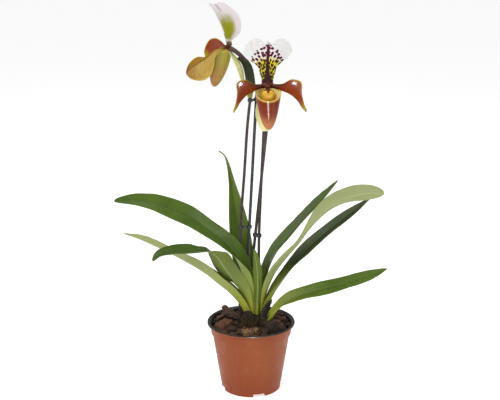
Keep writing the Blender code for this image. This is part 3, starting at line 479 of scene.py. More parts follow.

# %% [markdown]
# ## Leaf finish
# A slipper orchid's leaf is leathery. Parallel veins run from foot to tip, the upper face has patches of
# deeper green, the midrib is a groove above and a pale keel below, and the foot turns yellow-green where
# little light falls. The groove is darkened by painted shade. A group holds all of that, and each leaf has
# its own colours, some of them painted shade.

# %% Leaf finish
leaf_skin, given, out = new_group(
    "leaf_skin",
    {"Upper": (84, 122, 44), "Deep": (44, 70, 28), "Foot": (140, 152, 54), "Under": (150, 165, 95),
     "Rib": (176, 182, 130), "Foot Share": 0.3, "Veins": 26.0, "Patches": 0.5},
    {"Color": "Color", "Roughness": "Float", "Height": "Float"})
uv, along, across = surface_uv(leaf_skin)
side = abs(across * 2.0 - 1.0)
vein = (calc("SINE", across * given["Veins"] * (2 * math.pi)) * 0.5 + 0.5) ** 3.0
streak = cloud(stretched(uv, (3.0, 55.0, 1.0)), 1.0, 4.0)
patch = cloud(in_object(leaf_skin), 26.0, 4.0)
depth = rise(patch * given["Patches"] + streak * 0.5, 0.25, 0.75)
green = paint(
    given["Deep"],
    (depth, given["Upper"]),
    (vein * 0.12, (128, 150, 60)),
    # painted shade: the upper face is darkened along the midrib groove
    (fall(side, 0.0, 0.07, 0.6), given["Deep"]),
    (rise(side, 0.955, 1.0, 0.5), (150, 160, 84)))
pale = paint(
    given["Under"],
    (streak * 0.5, given["Upper"]),
    (vein * 0.22, given["Upper"]),
    (fall(side, 0.0, 0.08, 0.45), given["Rib"]))
at_foot = fall(along + streak * 0.08, 0.03, given["Foot Share"], 0.9)
skin = paint(
    green,
    (mark(leaf_skin, "under"), pale),
    (at_foot, given["Foot"]),
    (fall(along, 0.02, 0.16, 0.6), (164, 162, 46)),
    (rise(along, 0.985, 1.0, 0.7), (150, 130, 60)))
feed(skin, out["Color"])
feed(rise(streak + patch, 0.6, 1.4, 0.54, 0.36), out["Roughness"])
feed(vein * 0.6 + cloud(in_object(leaf_skin), 1400.0, 2.0), out["Height"])


def leaf_finish(name, **values):
    """A leaf material: the skin group with this leaf's values, under a thin waxy coat."""
    made, tree, shader = new_material(name, Coat_Weight=0.04, Coat_Roughness=0.3, Specular_IOR_Level=0.16)
    finish_with(shader, *use_group(tree, leaf_skin, **values), 0.00012, 0.6)
    return made


print("leaf skin nodes:", len(leaf_skin.nodes))

# %% [markdown]
# ## Leaves
# A leaf is a folded strap. A section of two wings that meet in a round keel is carried along the keel line,
# and opens from nearly shut at the foot to nearly flat. The margins wave, the groove and the keel are raised
# on the faces, and the stations crowd towards the tip so that it's round.

# %% Leaves
# Each leaf, foot to tip: keel x, y, z | the way the upper face looks | opening in degrees | fold radius
LEAVES = {
    "leaf_1": dict(half=16.5, foot=0.5, tip_start=0.62, rows=[
        (0.5, 0, 106, 1, 0, 0.1, 4, 3.5), (-4, 1.5, 136, 0.95, -0.05, 0.3, 8, 3.8),
        (-11, 1, 163, 0.85, -0.15, 0.4, 25, 4), (-20, -3, 187, 0.7, -0.35, 0.6, 50, 5),
        (-39, -7, 213, 0.5, -0.5, 0.75, 74, 6), (-59, -9, 229.5, 0.4, -0.55, 0.75, 80, 6),
        (-81, -12, 246, 0.3, -0.6, 0.75, 81, 6), (-104, -14, 257, 0.15, -0.63, 0.77, 81, 6),
        (-130, -16, 267, 0, -0.62, 0.8, 80, 6), (-155, -18, 271, -0.05, -0.55, 0.85, 78, 6),
        (-179, -20, 270.5, -0.1, -0.45, 0.9, 76, 6)]),
    "leaf_2": dict(half=17, foot=0.6, tip_start=0.45, blunt=1.2, waist=(0.92, 0.28, 0.45), rows=[
        (-5, 38, 102, 0.1, -1, 0, 20, 4), (-6.5, 39, 140, 0.1, -1, 0, 45, 4),
        (-12, 40, 175, 0.15, -1, 0.1, 60, 5), (-18, 41, 219, 0.25, -1, 0.1, 64, 5),
        (-23.5, 43, 255, 0.35, -0.95, 0.2, 60, 5), (-27.5, 46, 283, 0.3, -0.9, 0.2, 55, 5),
        (-32, 50, 305, 0.1, -0.95, 0.3, 55, 5), (-37, 54, 316, 0, -0.9, 0.4, 55, 4),
        (-44, 58, 320.5, 0, -0.7, 0.7, 55, 4)]),
    "leaf_3": dict(half=16.5, foot=0.8, tip_start=0.65, waist=(0.75, 0.33, 0.66), rows=[
        (-7.5, -1, 106, 0.9, 0, 0.4, 4, 7.5), (-15, -2.5, 121, 0.75, 0.05, 0.6, 10, 8),
        (-29, -4, 138, 0.62, 0.1, 0.75, 25, 8), (-45, -5, 152, 0.6, 0.2, 0.8, 34, 7),
        (-59, -5, 164, 0.58, 0.3, 0.8, 38, 5), (-90, -5, 184, 0.45, 0.4, 0.84, 40, 5),
        (-126, -4, 203, 0.35, 0.45, 0.88, 42, 5), (-151, -2, 214, 0.25, 0.45, 0.9, 42, 5),
        (-170, 0, 220, 0.2, 0.4, 0.9, 42, 5)]),
    "leaf_4": dict(half=15, foot=0.7, tip_start=0.6, wave=1.0, rows=[
        (-3, -0.2, 106, 0.95, 0, 0.2, 4, 5.6), (-8, -1.2, 128, 0.9, 0.25, 0.3, 22, 6),
        (-16.5, -5, 146, 0.5, 0.8, 0.4, 40, 6), (-27, -8, 162, -0.05, 0.9, 0.4, 60, 5),
        (-37, -12, 178, 0, 0.9, 0.4, 68, 5), (-45, -18, 193, 0.25, 0.75, 0.6, 72, 5),
        (-52, -24, 201.5, 0.35, 0.35, 0.85, 74, 5), (-67, -30, 204, 0.1, 0.1, 1, 75, 5),
        (-87, -34, 206, 0, -0.25, 0.95, 74, 5), (-106, -37, 206, -0.1, -0.4, 0.9, 70, 5),
        (-121, -39, 202, -0.3, -0.4, 0.85, 66, 5), (-129, -40, 195, -0.6, -0.4, 0.6, 66, 5)]),
    "leaf_5": dict(half=7.8, foot=0.6, tip_start=0.35, wave=0.3, rows=[
        (8.2, -5.5, 106, 0.1, 1, 0, 14, 2.0), (8.3, -8.8, 128, 0.1, 1, 0, 34, 2.2),
        (9, -11.5, 148, 0.1, 1, 0.1, 45, 2.4),
        (8.6, -12, 168, 0.1, 0.95, 0.2, 62, 3), (6.5, -12, 187, 0.15, 0.95, 0.25, 64, 3),
        (4, -12, 202, 0.2, 0.9, 0.3, 64, 3)]),
    "leaf_6": dict(half=12, foot=0.27, tip_start=0.5, rows=[
        (13, 0, 106, -1, 0, 0.1, 4, 1.5), (14.8, 0.3, 128, -0.95, 0, 0.3, 8, 2.2),
        (18.6, 0.2, 150, -0.9, -0.1, 0.4, 14, 3), (23.6, 4, 170, -0.8, -0.25, 0.5, 34, 4),
        (33.5, 10, 190, -0.7, -0.35, 0.55, 50, 5), (48, 14, 208, -0.65, -0.38, 0.6, 55, 5),
        (68, 18, 231, -0.6, -0.38, 0.6, 55, 5), (87, 23, 251, -0.6, -0.35, 0.6, 54, 5),
        (104, 27, 270, -0.6, -0.3, 0.6, 50, 5), (117, 30, 286, -0.6, -0.3, 0.6, 48, 4)]),
    "leaf_7": dict(half=13, foot=0.52, tip_start=0.86, blunt=0.5, waist=(0.5, 0.16, 0.5), rows=[
        (16.5, 0, 106, -1, 0, 0.1, 4, 4.8), (18.8, -0.8, 130, -0.95, 0.05, 0.3, 10, 5),
        (23.5, -4, 147, -0.85, 0.1, 0.45, 26, 5), (31.5, -8, 167, -0.75, 0.15, 0.55, 42, 5),
        (45, -15, 189, -0.7, 0.2, 0.6, 46, 5), (63, -22.5, 214, -0.6, 0.4, 0.6, 52, 5),
        (78, -30, 239, -0.45, 0.75, 0.45, 50, 6), (93, -38, 260.5, -0.25, 0.9, 0.35, 50, 7),
        (108, -45, 275, -0.1, 0.95, 0.3, 56, 8), (126, -52, 285.5, 0, 0.97, 0.25, 68, 8),
        (147, -57, 291, 0, 0.95, 0.3, 82, 8), (168, -60, 291.5, 0.05, 0.9, 0.35, 82, 8)]),
    "leaf_8": dict(half=11.0, foot=0.92, tip_start=0.5, rows=[
        (19.9, 0, 106.3, -1, 0, 0, 4, 6.6), (24, -2, 121, -0.85, 0, 0.5, 14, 6),
        (30, -4, 135.5, -0.75, -0.1, 0.6, 30, 6), (40, -5, 152.5, -0.7, -0.25, 0.65, 48, 6),
        (57, -4, 177, -0.65, -0.42, 0.65, 60, 5), (80, -2, 203, -0.55, -0.55, 0.65, 66, 5),
        (107, -1, 227.5, -0.5, -0.58, 0.65, 68, 5), (130, 0, 245.5, -0.5, -0.55, 0.65, 66, 5),
        (146, 0, 258.5, -0.5, -0.5, 0.65, 62, 5), (158, 0, 269, -0.5, -0.5, 0.65, 60, 4)]),
    "leaf_9": dict(half=12, foot=0.6, tip_start=0.55, rows=[
        (25, -18, 100, -0.8, -0.1, 0.6, 8, 3), (31, -18, 113, -0.75, -0.2, 0.65, 30, 4),
        (41, -18, 124, -0.6, -0.35, 0.8, 50, 4), (55, -19, 134, -0.45, -0.5, 0.8, 62, 4),
        (75, -20, 142, -0.3, -0.52, 0.82, 70, 4), (92, -21, 147, -0.25, -0.52, 0.82, 74, 4),
        (119, -21, 154.5, -0.25, -0.52, 0.82, 76, 4), (146, -21, 163, -0.3, -0.52, 0.82, 76, 4),
        (168, -20, 171, -0.3, -0.52, 0.82, 74, 4), (181, -20, 177, -0.35, -0.5, 0.82, 72, 3)]),
}

# Colours that set one leaf apart from the others, as upper face, deeper patches, foot and underside. Some
# of them are painted shade: leaf_4's underside is darker because that leaf lies in shadow.
LEAF_TONES_AND_SHADE = {
    "leaf_1": dict(Upper=(84, 112, 20), Deep=(48, 70, 12), Foot_Share=0.3),
    "leaf_2": dict(Upper=(100, 124, 24), Deep=(66, 88, 14), Foot_Share=0.2),
    "leaf_3": dict(Upper=(96, 124, 44), Deep=(60, 88, 30), Under=(160, 163, 114), Foot_Share=0.5),
    # painted shade: a darker underside where this leaf lies in shadow
    "leaf_4": dict(Upper=(84, 112, 34), Deep=(48, 72, 22), Under=(116, 126, 66), Foot_Share=0.35),
    "leaf_5": dict(Upper=(96, 118, 30), Deep=(60, 82, 20), Under=(92, 112, 38), Foot_Share=0.3),
    "leaf_6": dict(Upper=(84, 108, 30), Deep=(46, 66, 18), Under=(96, 116, 48), Foot_Share=0.35),
    "leaf_7": dict(Upper=(84, 108, 36), Deep=(44, 64, 20), Under=(162, 167, 118), Foot_Share=0.3),
    "leaf_8": dict(Upper=(62, 78, 34), Deep=(28, 40, 18), Under=(96, 104, 66), Foot_Share=0.4),
    "leaf_9": dict(Upper=(92, 118, 22), Deep=(60, 84, 16), Foot_Share=0.45),
}


def folded_section(half, opening, nest, columns):
    """Sideways and upward offsets across a folded blade.

    The section is an arc of radius `nest` at the keel and a straight wing on each side, which makes the
    angle `opening` (degrees) with the way the upper face looks: 0 is folded shut, 90 is flat.
    """
    share = np.linspace(-1, 1, columns)[None, :]
    reach = np.abs(share) * half[:, None]
    swing = math.pi / 2 - np.radians(opening)[:, None]
    arc = nest[:, None] * swing
    on_arc = np.minimum(reach, arc) / nest[:, None]
    past = np.maximum(reach - arc, 0.0)
    sideways = nest[:, None] * np.sin(on_arc) + past * np.cos(swing)
    upward = nest[:, None] * (1 - np.cos(on_arc)) + past * np.sin(swing)
    return np.sign(share) * sideways, upward


def strap_outline(place, foot, tip_start, blunt, waist):
    """Half width along a strap leaf, as a share of the widest: `foot` at its foot, and from `tip_start` on
    (1 - t^2)^blunt, which is round for 0.5 and pointed above 1. A waist is a bell-shaped narrowing, given
    as where it is, how long it is and the share of the width that it leaves."""
    centre, length, left = waist
    swell = foot + (1 - foot) * smooth_step(0.0, 0.28, place)
    swell = swell * (1 - (1 - left) * np.exp(-(((place - centre) / length) ** 2)))
    past = np.clip((place - tip_start) / (1 - tip_start), 0.0, 1.0)
    return swell * np.maximum(np.maximum(1 - past**2, 0.0) ** blunt, 0.05)


def make_blade(name, rows, finish, half, foot=0.6, tip_start=0.55, blunt=0.55, wave=0.8, waves=3.0,
               waist=(0.5, 1.0, 1.0), stations=110, columns=31, thickness=1.3, slot="leaf", rib=0.45):
    """A folded, arching blade that replaces the CAD node of the same name.

    The upper face has a groove along the midrib and the under face a keel, both `rib` mm deep and shaped
    as a bell curve across the blade.
    """
    place = 1 - (1 - np.linspace(0, 1, stations)) ** 1.3
    line = hermite(rows, place)
    keel, looks, opening, nest = line[:, :3], line[:, 3:6], line[:, 6], line[:, 7]
    along = unit(np.gradient(keel, axis=0))
    up = unit(looks - along * np.sum(looks * along, axis=1, keepdims=True))
    side = np.cross(along, up)
    width = half * strap_outline(place, foot, tip_start, blunt, waist)
    sideways, upward = folded_section(width, np.clip(opening, 2.0, 90.0), np.maximum(nest, 1.0), columns)
    share = np.linspace(-1, 1, columns)[None, :]
    calm = smooth_step(0.15, 0.4, place)[:, None] * share**2
    ripple = wave * calm * np.sin(2 * math.pi * waves * place[:, None] + 1.3 * np.sign(share))
    ripple = ripple + unrest(sum(map(ord, name)), 6 * place[:, None], 2 * share, 0.35) * calm**0.5
    middle = keel[:, None] + side[:, None] * sideways[..., None] + up[:, None] * (upward + ripple)[..., None]
    rim = np.abs(share)
    half_thick = 0.5 * thickness * (1 - 0.35 * rim**2 - 0.4 * rim**14) + 0 * width[:, None]
    bell = np.exp(-((share * width[:, None] / 1.3) ** 2)) * np.minimum(1, width[:, None] / 6)
    upper, lower = half_thick - rib * 0.8 * bell, half_thick + rib * bell
    points, faces, under = sheet_parts(middle, upper, lower)
    return make_piece(name + "_blade", points, faces, finish, [name], sheet_uv(stations, columns),
                      {"under": under})


for name, leaf in LEAVES.items():
    make_blade(name, finish=leaf_finish(name + "_green", **LEAF_TONES_AND_SHADE[name]), **leaf)

# %% [markdown]
# ## Stems, stakes and ovaries
# A flower stem is a round bar with short hairs all over it. The ovary on top of it carries six ribs. Both are
# a circle carried along a curve, with the circle's radius changed by a cosine of the angle for the ribs.

# %% Bars along a curve


def bar_frame(route, radii, place):
    """At shares of a route's length: its centre and radius, the way it runs and two ways across it."""
    radii = np.broadcast_to(np.asarray(radii, float), (len(route),))
    path = hermite(np.column_stack([np.array(route, float), radii]), place)
    along = unit(np.gradient(path[:, :3], axis=0))
    side = unit(np.cross(along, np.array([0.0, 1.0, 0.02])))
    return path[:, :3], path[:, 3], along, side, np.cross(along, side)


def make_bar(name, node, route, radii, finish, sides=24, stations=60, ribs=0, rib=0.0, round_end=0.0):
    """A round bar along a smooth route, closed at both ends, that replaces one CAD node.

    The radius follows the route's points, times 1 + rib * cos(ribs * angle). A share `round_end` of the
    length at the top draws in as a quarter circle.
    """
    place = np.linspace(0, 1, stations)
    if round_end:
        place = 1 - (1 - place) ** 2.2
    centre, radius, _, side, other = bar_frame(route, radii, place)
    if round_end:
        past = np.clip((place - 1 + round_end) / round_end, 0, 1)
        radius = radius * np.sqrt(np.maximum(1 - past**2, 1e-4))
    turn = circle(sides)
    ring = np.cos(turn)[None, :, None] * side[:, None] + np.sin(turn)[None, :, None] * other[:, None]
    swell = radius[:, None, None] * (1 + rib * np.cos(ribs * turn))[None, :, None]
    points = np.concatenate([(centre[:, None] + ring * swell).reshape(-1, 3), centre[:1], centre[-1:]])
    last, around = stations * sides, np.arange(sides)
    faces = grid_faces(stations, sides, closed=True).tolist() + pole_faces(around, last)
    faces += pole_faces(around + last - sides, last + 1)
    uv = np.stack(np.meshgrid(place, turn / (2 * math.pi), indexing="ij"), -1).reshape(-1, 2)
    return make_piece(name, points, faces, finish, [node], np.concatenate([uv, [[0, 0.5], [1, 0.5]]]))


def spikes(roots, directions, length, radius):
    """Many small hairs: each has three points round its root and one at its tip."""
    directions = unit(directions)
    side = unit(np.cross(directions, np.array([0.31, 0.27, 0.91])))
    other = np.cross(directions, side)
    turn = circle(3)
    base = roots[:, None] + radius * (np.cos(turn)[None, :, None] * side[:, None]
                                      + np.sin(turn)[None, :, None] * other[:, None])
    tip = roots + directions * length[:, None]
    points = np.concatenate([base, tip[:, None]], axis=1).reshape(-1, 3)
    first = np.arange(len(roots))[:, None, None] * 4
    faces = (first + np.array([[0, 1, 3], [1, 2, 3], [2, 0, 3], [0, 2, 1]])[None]).reshape(-1, 3)
    return points, faces.tolist()


def hair_round_bar(route, radii, count, low, high, length, seed):
    """Hairs that stand out from a bar between the shares `low` and `high` of its length."""
    draw = np.random.default_rng(seed)
    centre, radius, along, side, other = bar_frame(route, radii, np.sort(draw.uniform(low, high, count)))
    turn = draw.uniform(0, 2 * math.pi, count)[:, None]
    out_way = np.cos(turn) * side + np.sin(turn) * other
    roots = centre + out_way * (radius[:, None] - 0.05)
    return spikes(roots, out_way + 0.5 * along, draw.uniform(0.5, 1.0, count) * length, 0.05)


# %% [markdown]
# The stems are dark maroon, nearly black where the hairs shade them. Fine streaks along the stem and a
# matt surface keep them soft beside the glossy black stakes.

# %% Stem and stake finishes
grain_group, given, out = new_group("fine_grain", {"Scale": 600.0, "Contrast": 1.0}, {"Value": "Float"})
noise = cloud(in_object(grain_group), given["Scale"], 4.0, 0.6)
feed((noise - 0.5) * given["Contrast"] + 0.5, out["Value"])


def grainy(tree, scale, contrast):
    """Fine grain round 0.5 in this material."""
    return use_group(tree, grain_group, Scale=scale, Contrast=contrast)[0]


def grain_finish(name, scale, contrast, dark, light, rough=None, **fixed):
    """Two colours mixed by the fine grain, which also gives the roughness and a faint relief if `rough`
    says from where to where the roughness goes."""
    made, tree, shader = new_material(name, **fixed)
    grain = grainy(tree, scale, contrast)
    colour = blend(grain, dark, light)
    if rough:
        finish_with(shader, colour, spread(grain, *rough), grain, 0.00005, 0.4)
    else:
        finish_with(shader, colour)
    return made


def stem_finish(name, dark, light, ribs=9.0):
    """Streaks along a stem: noise drawn out lengthwise picks between two colours."""
    made, tree, shader = new_material(name, Sheen_Weight=0.25, Specular_IOR_Level=0.3)
    streak = cloud(stretched(surface_uv(tree)[0], (40.0, ribs, 1.0)), 1.0, 4.0)
    grain = grainy(tree, 1500.0, 1.2)
    colour = blend(rise(streak, 0.35, 0.7), dark, light)
    finish_with(shader, colour, spread(grain, 0.5, 0.75), grain, 0.00015, 0.5)
    return made


STEM_RADIUS = 1.9
STAKE_RADIUS = 2.0
STEM_FOOT = 72.0
STEM_REAR = [(-15.5, 16, STEM_FOOT), (-15.5, 17, 130), (-15, 18, 180), (-14.1, 20, 226), (-9, 20, 300),
             (-4.3, 20, 370), (-0.8, 20, 402)]
STEM_FRONT = [(11, 18.5, STEM_FOOT), (10.8, 16.5, 140), (10.7, 15, 205), (13.2, 12, 280), (16, 9, 345),
              (17.2, 7, 374)]
STAKE_REAR = [(-10.2, 20, STEM_FOOT), (7.2, 26, 407)]
STAKE_FRONT = [(-8.6, 16, STEM_FOOT), (22, 19, 373)]

stem_skin = stem_finish("stem_maroon", (34, 22, 20), (74, 50, 38))
stake_black = grain_finish("stake_black", 900.0, 1.0, (12, 12, 14), (30, 30, 32), (0.28, 0.5),
                           Specular_IOR_Level=0.45)
hair_skin = grain_finish("stem_hair", 300.0, 1.5, (60, 40, 34), (126, 100, 84), Roughness=0.6)

for side, route in (("rear", STEM_REAR), ("front", STEM_FRONT)):
    make_bar(f"stem_{side}_bar", "stem_" + side, route, STEM_RADIUS, stem_skin, stations=120)
for side, route in (("rear", STAKE_REAR), ("front", STAKE_FRONT)):
    make_bar(f"stake_{side}_rod", "stake_" + side, route, STAKE_RADIUS, stake_black,
             stations=40, round_end=0.006)
for name, route in (("stem_rear_hair", STEM_REAR), ("stem_front_hair", STEM_FRONT)):
    points, faces = hair_round_bar(route, STEM_RADIUS, 3600, 0.2, 0.99, 0.9, len(name))
    make_piece(name, points, faces, hair_skin)

# %% [markdown]
# ## Flowers
# Each flower is worked out in a frame of its own: x to the right of someone who faces it, y away from them
# and z up. Then it's scaled, turned about the upright axis and moved to the top of its ovary.

# %% Where each flower is
FLOWERS = {
    # A flower's shade darkens its lower sepal as painted shade: none on the front flower, 0.6 on the rear.
    "front": dict(
        centre=(20.3, -35.0, 423.8), turn=3.5, scale=1.0, shade=0.0, pouch=(-51.5, 0.0),
        sepal=(-8.0, 52.5, 13.5, -3.0, 4.0), petals=("folded", "folded"),
        ovary=[(17.3, 7, 374.5), (17, 8, 388), (17.2, 6, 401), (17.6, -3, 412.5), (18.8, -16, 420.5),
               (19.8, -27, 423.4), (20.1, -33.2, 423.8)],
        bract=[(17.1, 3.6, 371, 0, 1, 0, 6, 2.8), (16.8, 0.5, 381, 0, 1, 0.1, 12, 4.2),
               (16.6, -4.5, 392, 0, 0.95, 0.3, 18, 4.8), (17, -9, 402, 0, 0.8, 0.6, 22, 5),
               (17.6, -15, 409.5, 0, 0.65, 0.8, 26, 4.6), (18, -19.5, 413, 0, 0.6, 0.8, 26, 4)]),
    "rear": dict(
        centre=(-28.6, 15.0, 465.8), turn=-120.0, scale=0.93, shade=0.6, pouch=(-56.0, 4.5),
        sepal=(27.0, 48.0, 7.0, 0.0, 7.0), petals=("cap", "open"),
        ovary=[(-0.8, 20, 402.5), (0.5, 20, 416), (-0.3, 19, 430), (-5, 15.5, 444.5), (-12.5, 11, 455.5),
               (-20, 9.8, 462), (-27.1, 14.1, 465.6)],
        bract=[(-4.1, 20.4, 400.4, 1, 0, 0, 6, 3.0), (-5.6, 20.4, 410, 1, 0, 0, 10, 4.2),
               (-6.8, 20, 424, 0.95, 0, 0.2, 12, 4.8), (-9.4, 17, 438, 0.85, 0, 0.5, 14, 5),
               (-12.8, 12.3, 447.5, 0.7, 0, 0.7, 20, 5), (-17.4, 10.2, 453.5, 0.6, 0, 0.8, 26, 5)]),
}


def place_flower(points, flower):
    """From the flower's own frame to the plant's: scale, turn about Z, move to the flower's centre."""
    points = turned(np.asarray(points, float) * flower["scale"], math.radians(flower["turn"]))
    return points + np.array(flower["centre"])


ovary_skin = stem_finish("ovary_purple", (40, 22, 14), (84, 52, 28), 12.0)
for key, flower in FLOWERS.items():
    radii = np.array([1.9, 2.3, 2.7, 2.9, 2.9, 3.0, 3.4]) * flower["scale"]
    make_bar(key + "_ovary_bar", key + "_ovary", flower["ovary"], radii, ovary_skin, sides=36,
             stations=70, ribs=6, rib=0.06)
    points, faces = hair_round_bar(flower["ovary"], radii, 1500, 0.02, 0.97, 0.9, 5)
    make_piece(key + "_ovary_hair", points, faces, hair_skin)
    green = leaf_finish(key + "_bract_green", Upper=(46, 54, 18), Deep=(10, 12, 5), Foot=(34, 30, 18),
                        Under=(34, 42, 18), Rib=(44, 50, 24), Foot_Share=0.25, Patches=1.2)
    make_blade(key + "_bract", flower["bract"], green, half=14.5, foot=0.55, tip_start=0.6, wave=0.0,
               stations=70, columns=25, thickness=0.9, rib=0.2)

# %% [markdown]
# ## The upper sepal
# The fan at the top of the flower is white, with a yellow-green heart and rows of maroon spots that follow
# its veins. On the shape's own UV map a point's angle and distance from the foot are found first. Spots
# are then the cells of a Voronoi pattern laid out along rays, which grow towards the foot until they join.

# %% The upper sepal's shape
DORSAL_HALF_ANGLE = 37.0
DORSAL_HEIGHT = 62.0
DORSAL_RAISE = 1.2
DORSAL_FOOT = 2.2

# How far each arches forward, how far and from which share of its height its sides roll back, its outline
# as (angle, radius) and the distance of its side edge as (radius, distance)
DORSALS = {
    "front": dict(
        reach=20.0, roll=5.0, roll_full=1.0,
        outline=[(0.0, 56.5), (5.3, 53.0), (10.6, 59.0), (15.9, 62.0), (26.0, 61.5), (31.7, 59.0),
                 (37.0, 53.5)],
        edge=[(2.2, 7.0), (9.8, 7.5), (19.5, 9.7), (29.9, 12.6), (39.5, 22.3), (48.0, 28.5), (53.5, 31.0),
              (62.0, 33.0)]),
    "rear": dict(
        reach=25.0, roll=8.5, roll_full=0.45,
        outline=[(0.0, 58.5), (5.3, 58.0), (10.6, 60.5), (15.9, 62.0), (26.0, 61.5), (31.7, 59.0),
                 (37.0, 53.5)],
        edge=[(2.2, 7.0), (9.8, 7.5), (14.0, 10.0), (20.0, 17.5), (29.9, 24.0), (39.5, 27.0), (48.0, 28.5),
              (53.5, 29.0), (62.0, 30.0)]),
}
DORSAL_UV_SPAN = 72.0           # the UV map's whole width and height, in mm


def dorsal_grid(reach, roll, roll_full, outline, edge, rows=90, columns=121):
    """The fan-shaped upper sepal: rays from its foot, notched at the top, and its flat layout.

    A point lies at radius r on a ray; r runs from the foot to the outline's radius, and the outermost ray's
    distance from the middle follows `edge`. The fan arches forward by the cube of its height, the sides
    roll back, the two lobes are waved and fine folds follow the veins.
    """
    side = np.linspace(-1, 1, columns)[None, :]
    share = np.linspace(0, 1, rows)[:, None]
    angle = np.radians(DORSAL_HALF_ANGLE) * side
    radius = DORSAL_FOOT + (through(outline, np.abs(np.degrees(angle))) - DORSAL_FOOT) * share
    across = through(edge, radius) * np.sin(angle) / math.sin(math.radians(DORSAL_HALF_ANGLE))
    up = radius * np.cos(angle)
    back = roll * side**2 * smooth_step(0.1, roll_full, share) + 1.2 * np.sin(3.0 * math.pi * side) * share**3
    back = back + 3.0 * side**2 * np.exp(-share * 5.0)
    back = back + 0.35 * np.sin(side * 30.0) * share**2 * (1 - side**8)
    forward = reach * (up / DORSAL_HEIGHT) ** 3
    flat = np.stack([0.5 + radius * np.sin(angle) / DORSAL_UV_SPAN, up / DORSAL_UV_SPAN], -1).reshape(-1, 2)
    return np.stack([across, back - forward - 1.8, up + DORSAL_RAISE], axis=-1), np.tile(flat, (2, 1))


# %% The upper sepal's finish
fan_skin, tree, shader = new_material("fan_spotted", Specular_IOR_Level=0.1, Subsurface_Weight=0.12,
                                      Subsurface_Scale=0.003)
uv, u, v = surface_uv(tree)
x = (u - 0.5) * DORSAL_UV_SPAN
y = v * DORSAL_UV_SPAN
radius = calc("SQRT", x * x + y * y)
turn = calc("ARCTAN2", x, y) * math.degrees(1)
off = abs(turn)
in_mm = stretched(uv, (DORSAL_UV_SPAN, DORSAL_UV_SPAN, 1.0))
edge_noise = cloud(in_mm, 0.9, 3.0)
blot = cloud(in_mm, 0.16, 2.0)
ragged = edge_noise - 0.5
polar = place_node(tree, "CombineXYZ", {0: turn * 0.155, 1: radius * 0.195})
size = rise(radius, 10.0, 38.0, 0.43, 0.52) * fall(radius + off * 0.38, 50.0, 56.0)
near = cells(polar, 0.62, voronoi_dimensions="2D") + ragged * 0.2
spots = rise(size - near, 0.0, 0.06)
mid = abs(x) + ragged * 3.0
band = fall(mid - rise(radius, 14.0, 48.0, 1.8, 3.0), -0.3, 0.4) * fall(radius, 50.0, 56.0)
neck = fall(radius + ragged * 5.0, 7.0, 11.0, 0.85)
vein_wave = abs(calc("SINE", turn * 0.487))
veins = fall(vein_wave, 0.0, 0.16) * fall(radius, 44.0, 58.0)
heart = fall(radius + blot * 8.0, 34.0, 44.0) * rise(off, 31.0, 36.0, 0.7, 1.0)
flush = fall(near, 0.25, 0.7) * fall(off, 18.0, 28.0) * rise(radius, 30.0, 36.0, 0.07)
dark = blend(rise(radius, 22.0, 46.0), (52, 14, 14), (88, 20, 40))
marks = calc("MAXIMUM", calc("MAXIMUM", spots, band), neck)
patch = fall(off + radius * 0.12, 20.0, 34.0) * fall(radius + blot * 14.0, 38.0, 58.0)
back_colour = paint(
    (228, 222, 222),
    (patch, (158, 160, 18)),
    (veins * patch, (96, 104, 18)),
    ((1.0 - patch) * (fall(vein_wave, 0.0, 0.4, 0.22) * rise(radius, 20.0, 40.0)), (190, 150, 180)),
    (fall(off, 2.0, 6.0, 0.5) * rise(radius, 46.0, 52.0), (150, 100, 140)),
    (fall(radius, 9.5, 13.0), (226, 220, 208)),
    (fall(radius, 7.0, 9.5, 0.95), blend(rise(vein_wave, 0.2, 0.7), (60, 26, 18), (120, 104, 52))))
colour = paint(
    (216, 218, 216),
    (heart, (196, 190, 34)),
    (flush, (206, 130, 170)),
    (marks, dark),
    (mark(tree, "under"), back_colour))
finish_with(shader, colour, spread(edge_noise, 0.42, 0.6), veins + edge_noise, 0.0002, 0.5)

for key, flower in FLOWERS.items():
    middle, flat = dorsal_grid(**DORSALS[key])
    make_sheet(key + "_fan", key + "_dorsal_sepal", place_flower(middle, flower), fan_skin, "sepal", flat)

# %% [markdown]
# ## The two petals
# Each petal is a sheet spread over three rails: its upper margin, its midrib and its lower margin. The
# petals look varnished. They're dark maroon at the foot, mahogany along the upper half, ochre and veined
# along the lower, and yellow-green at the tip and along the thin margin.

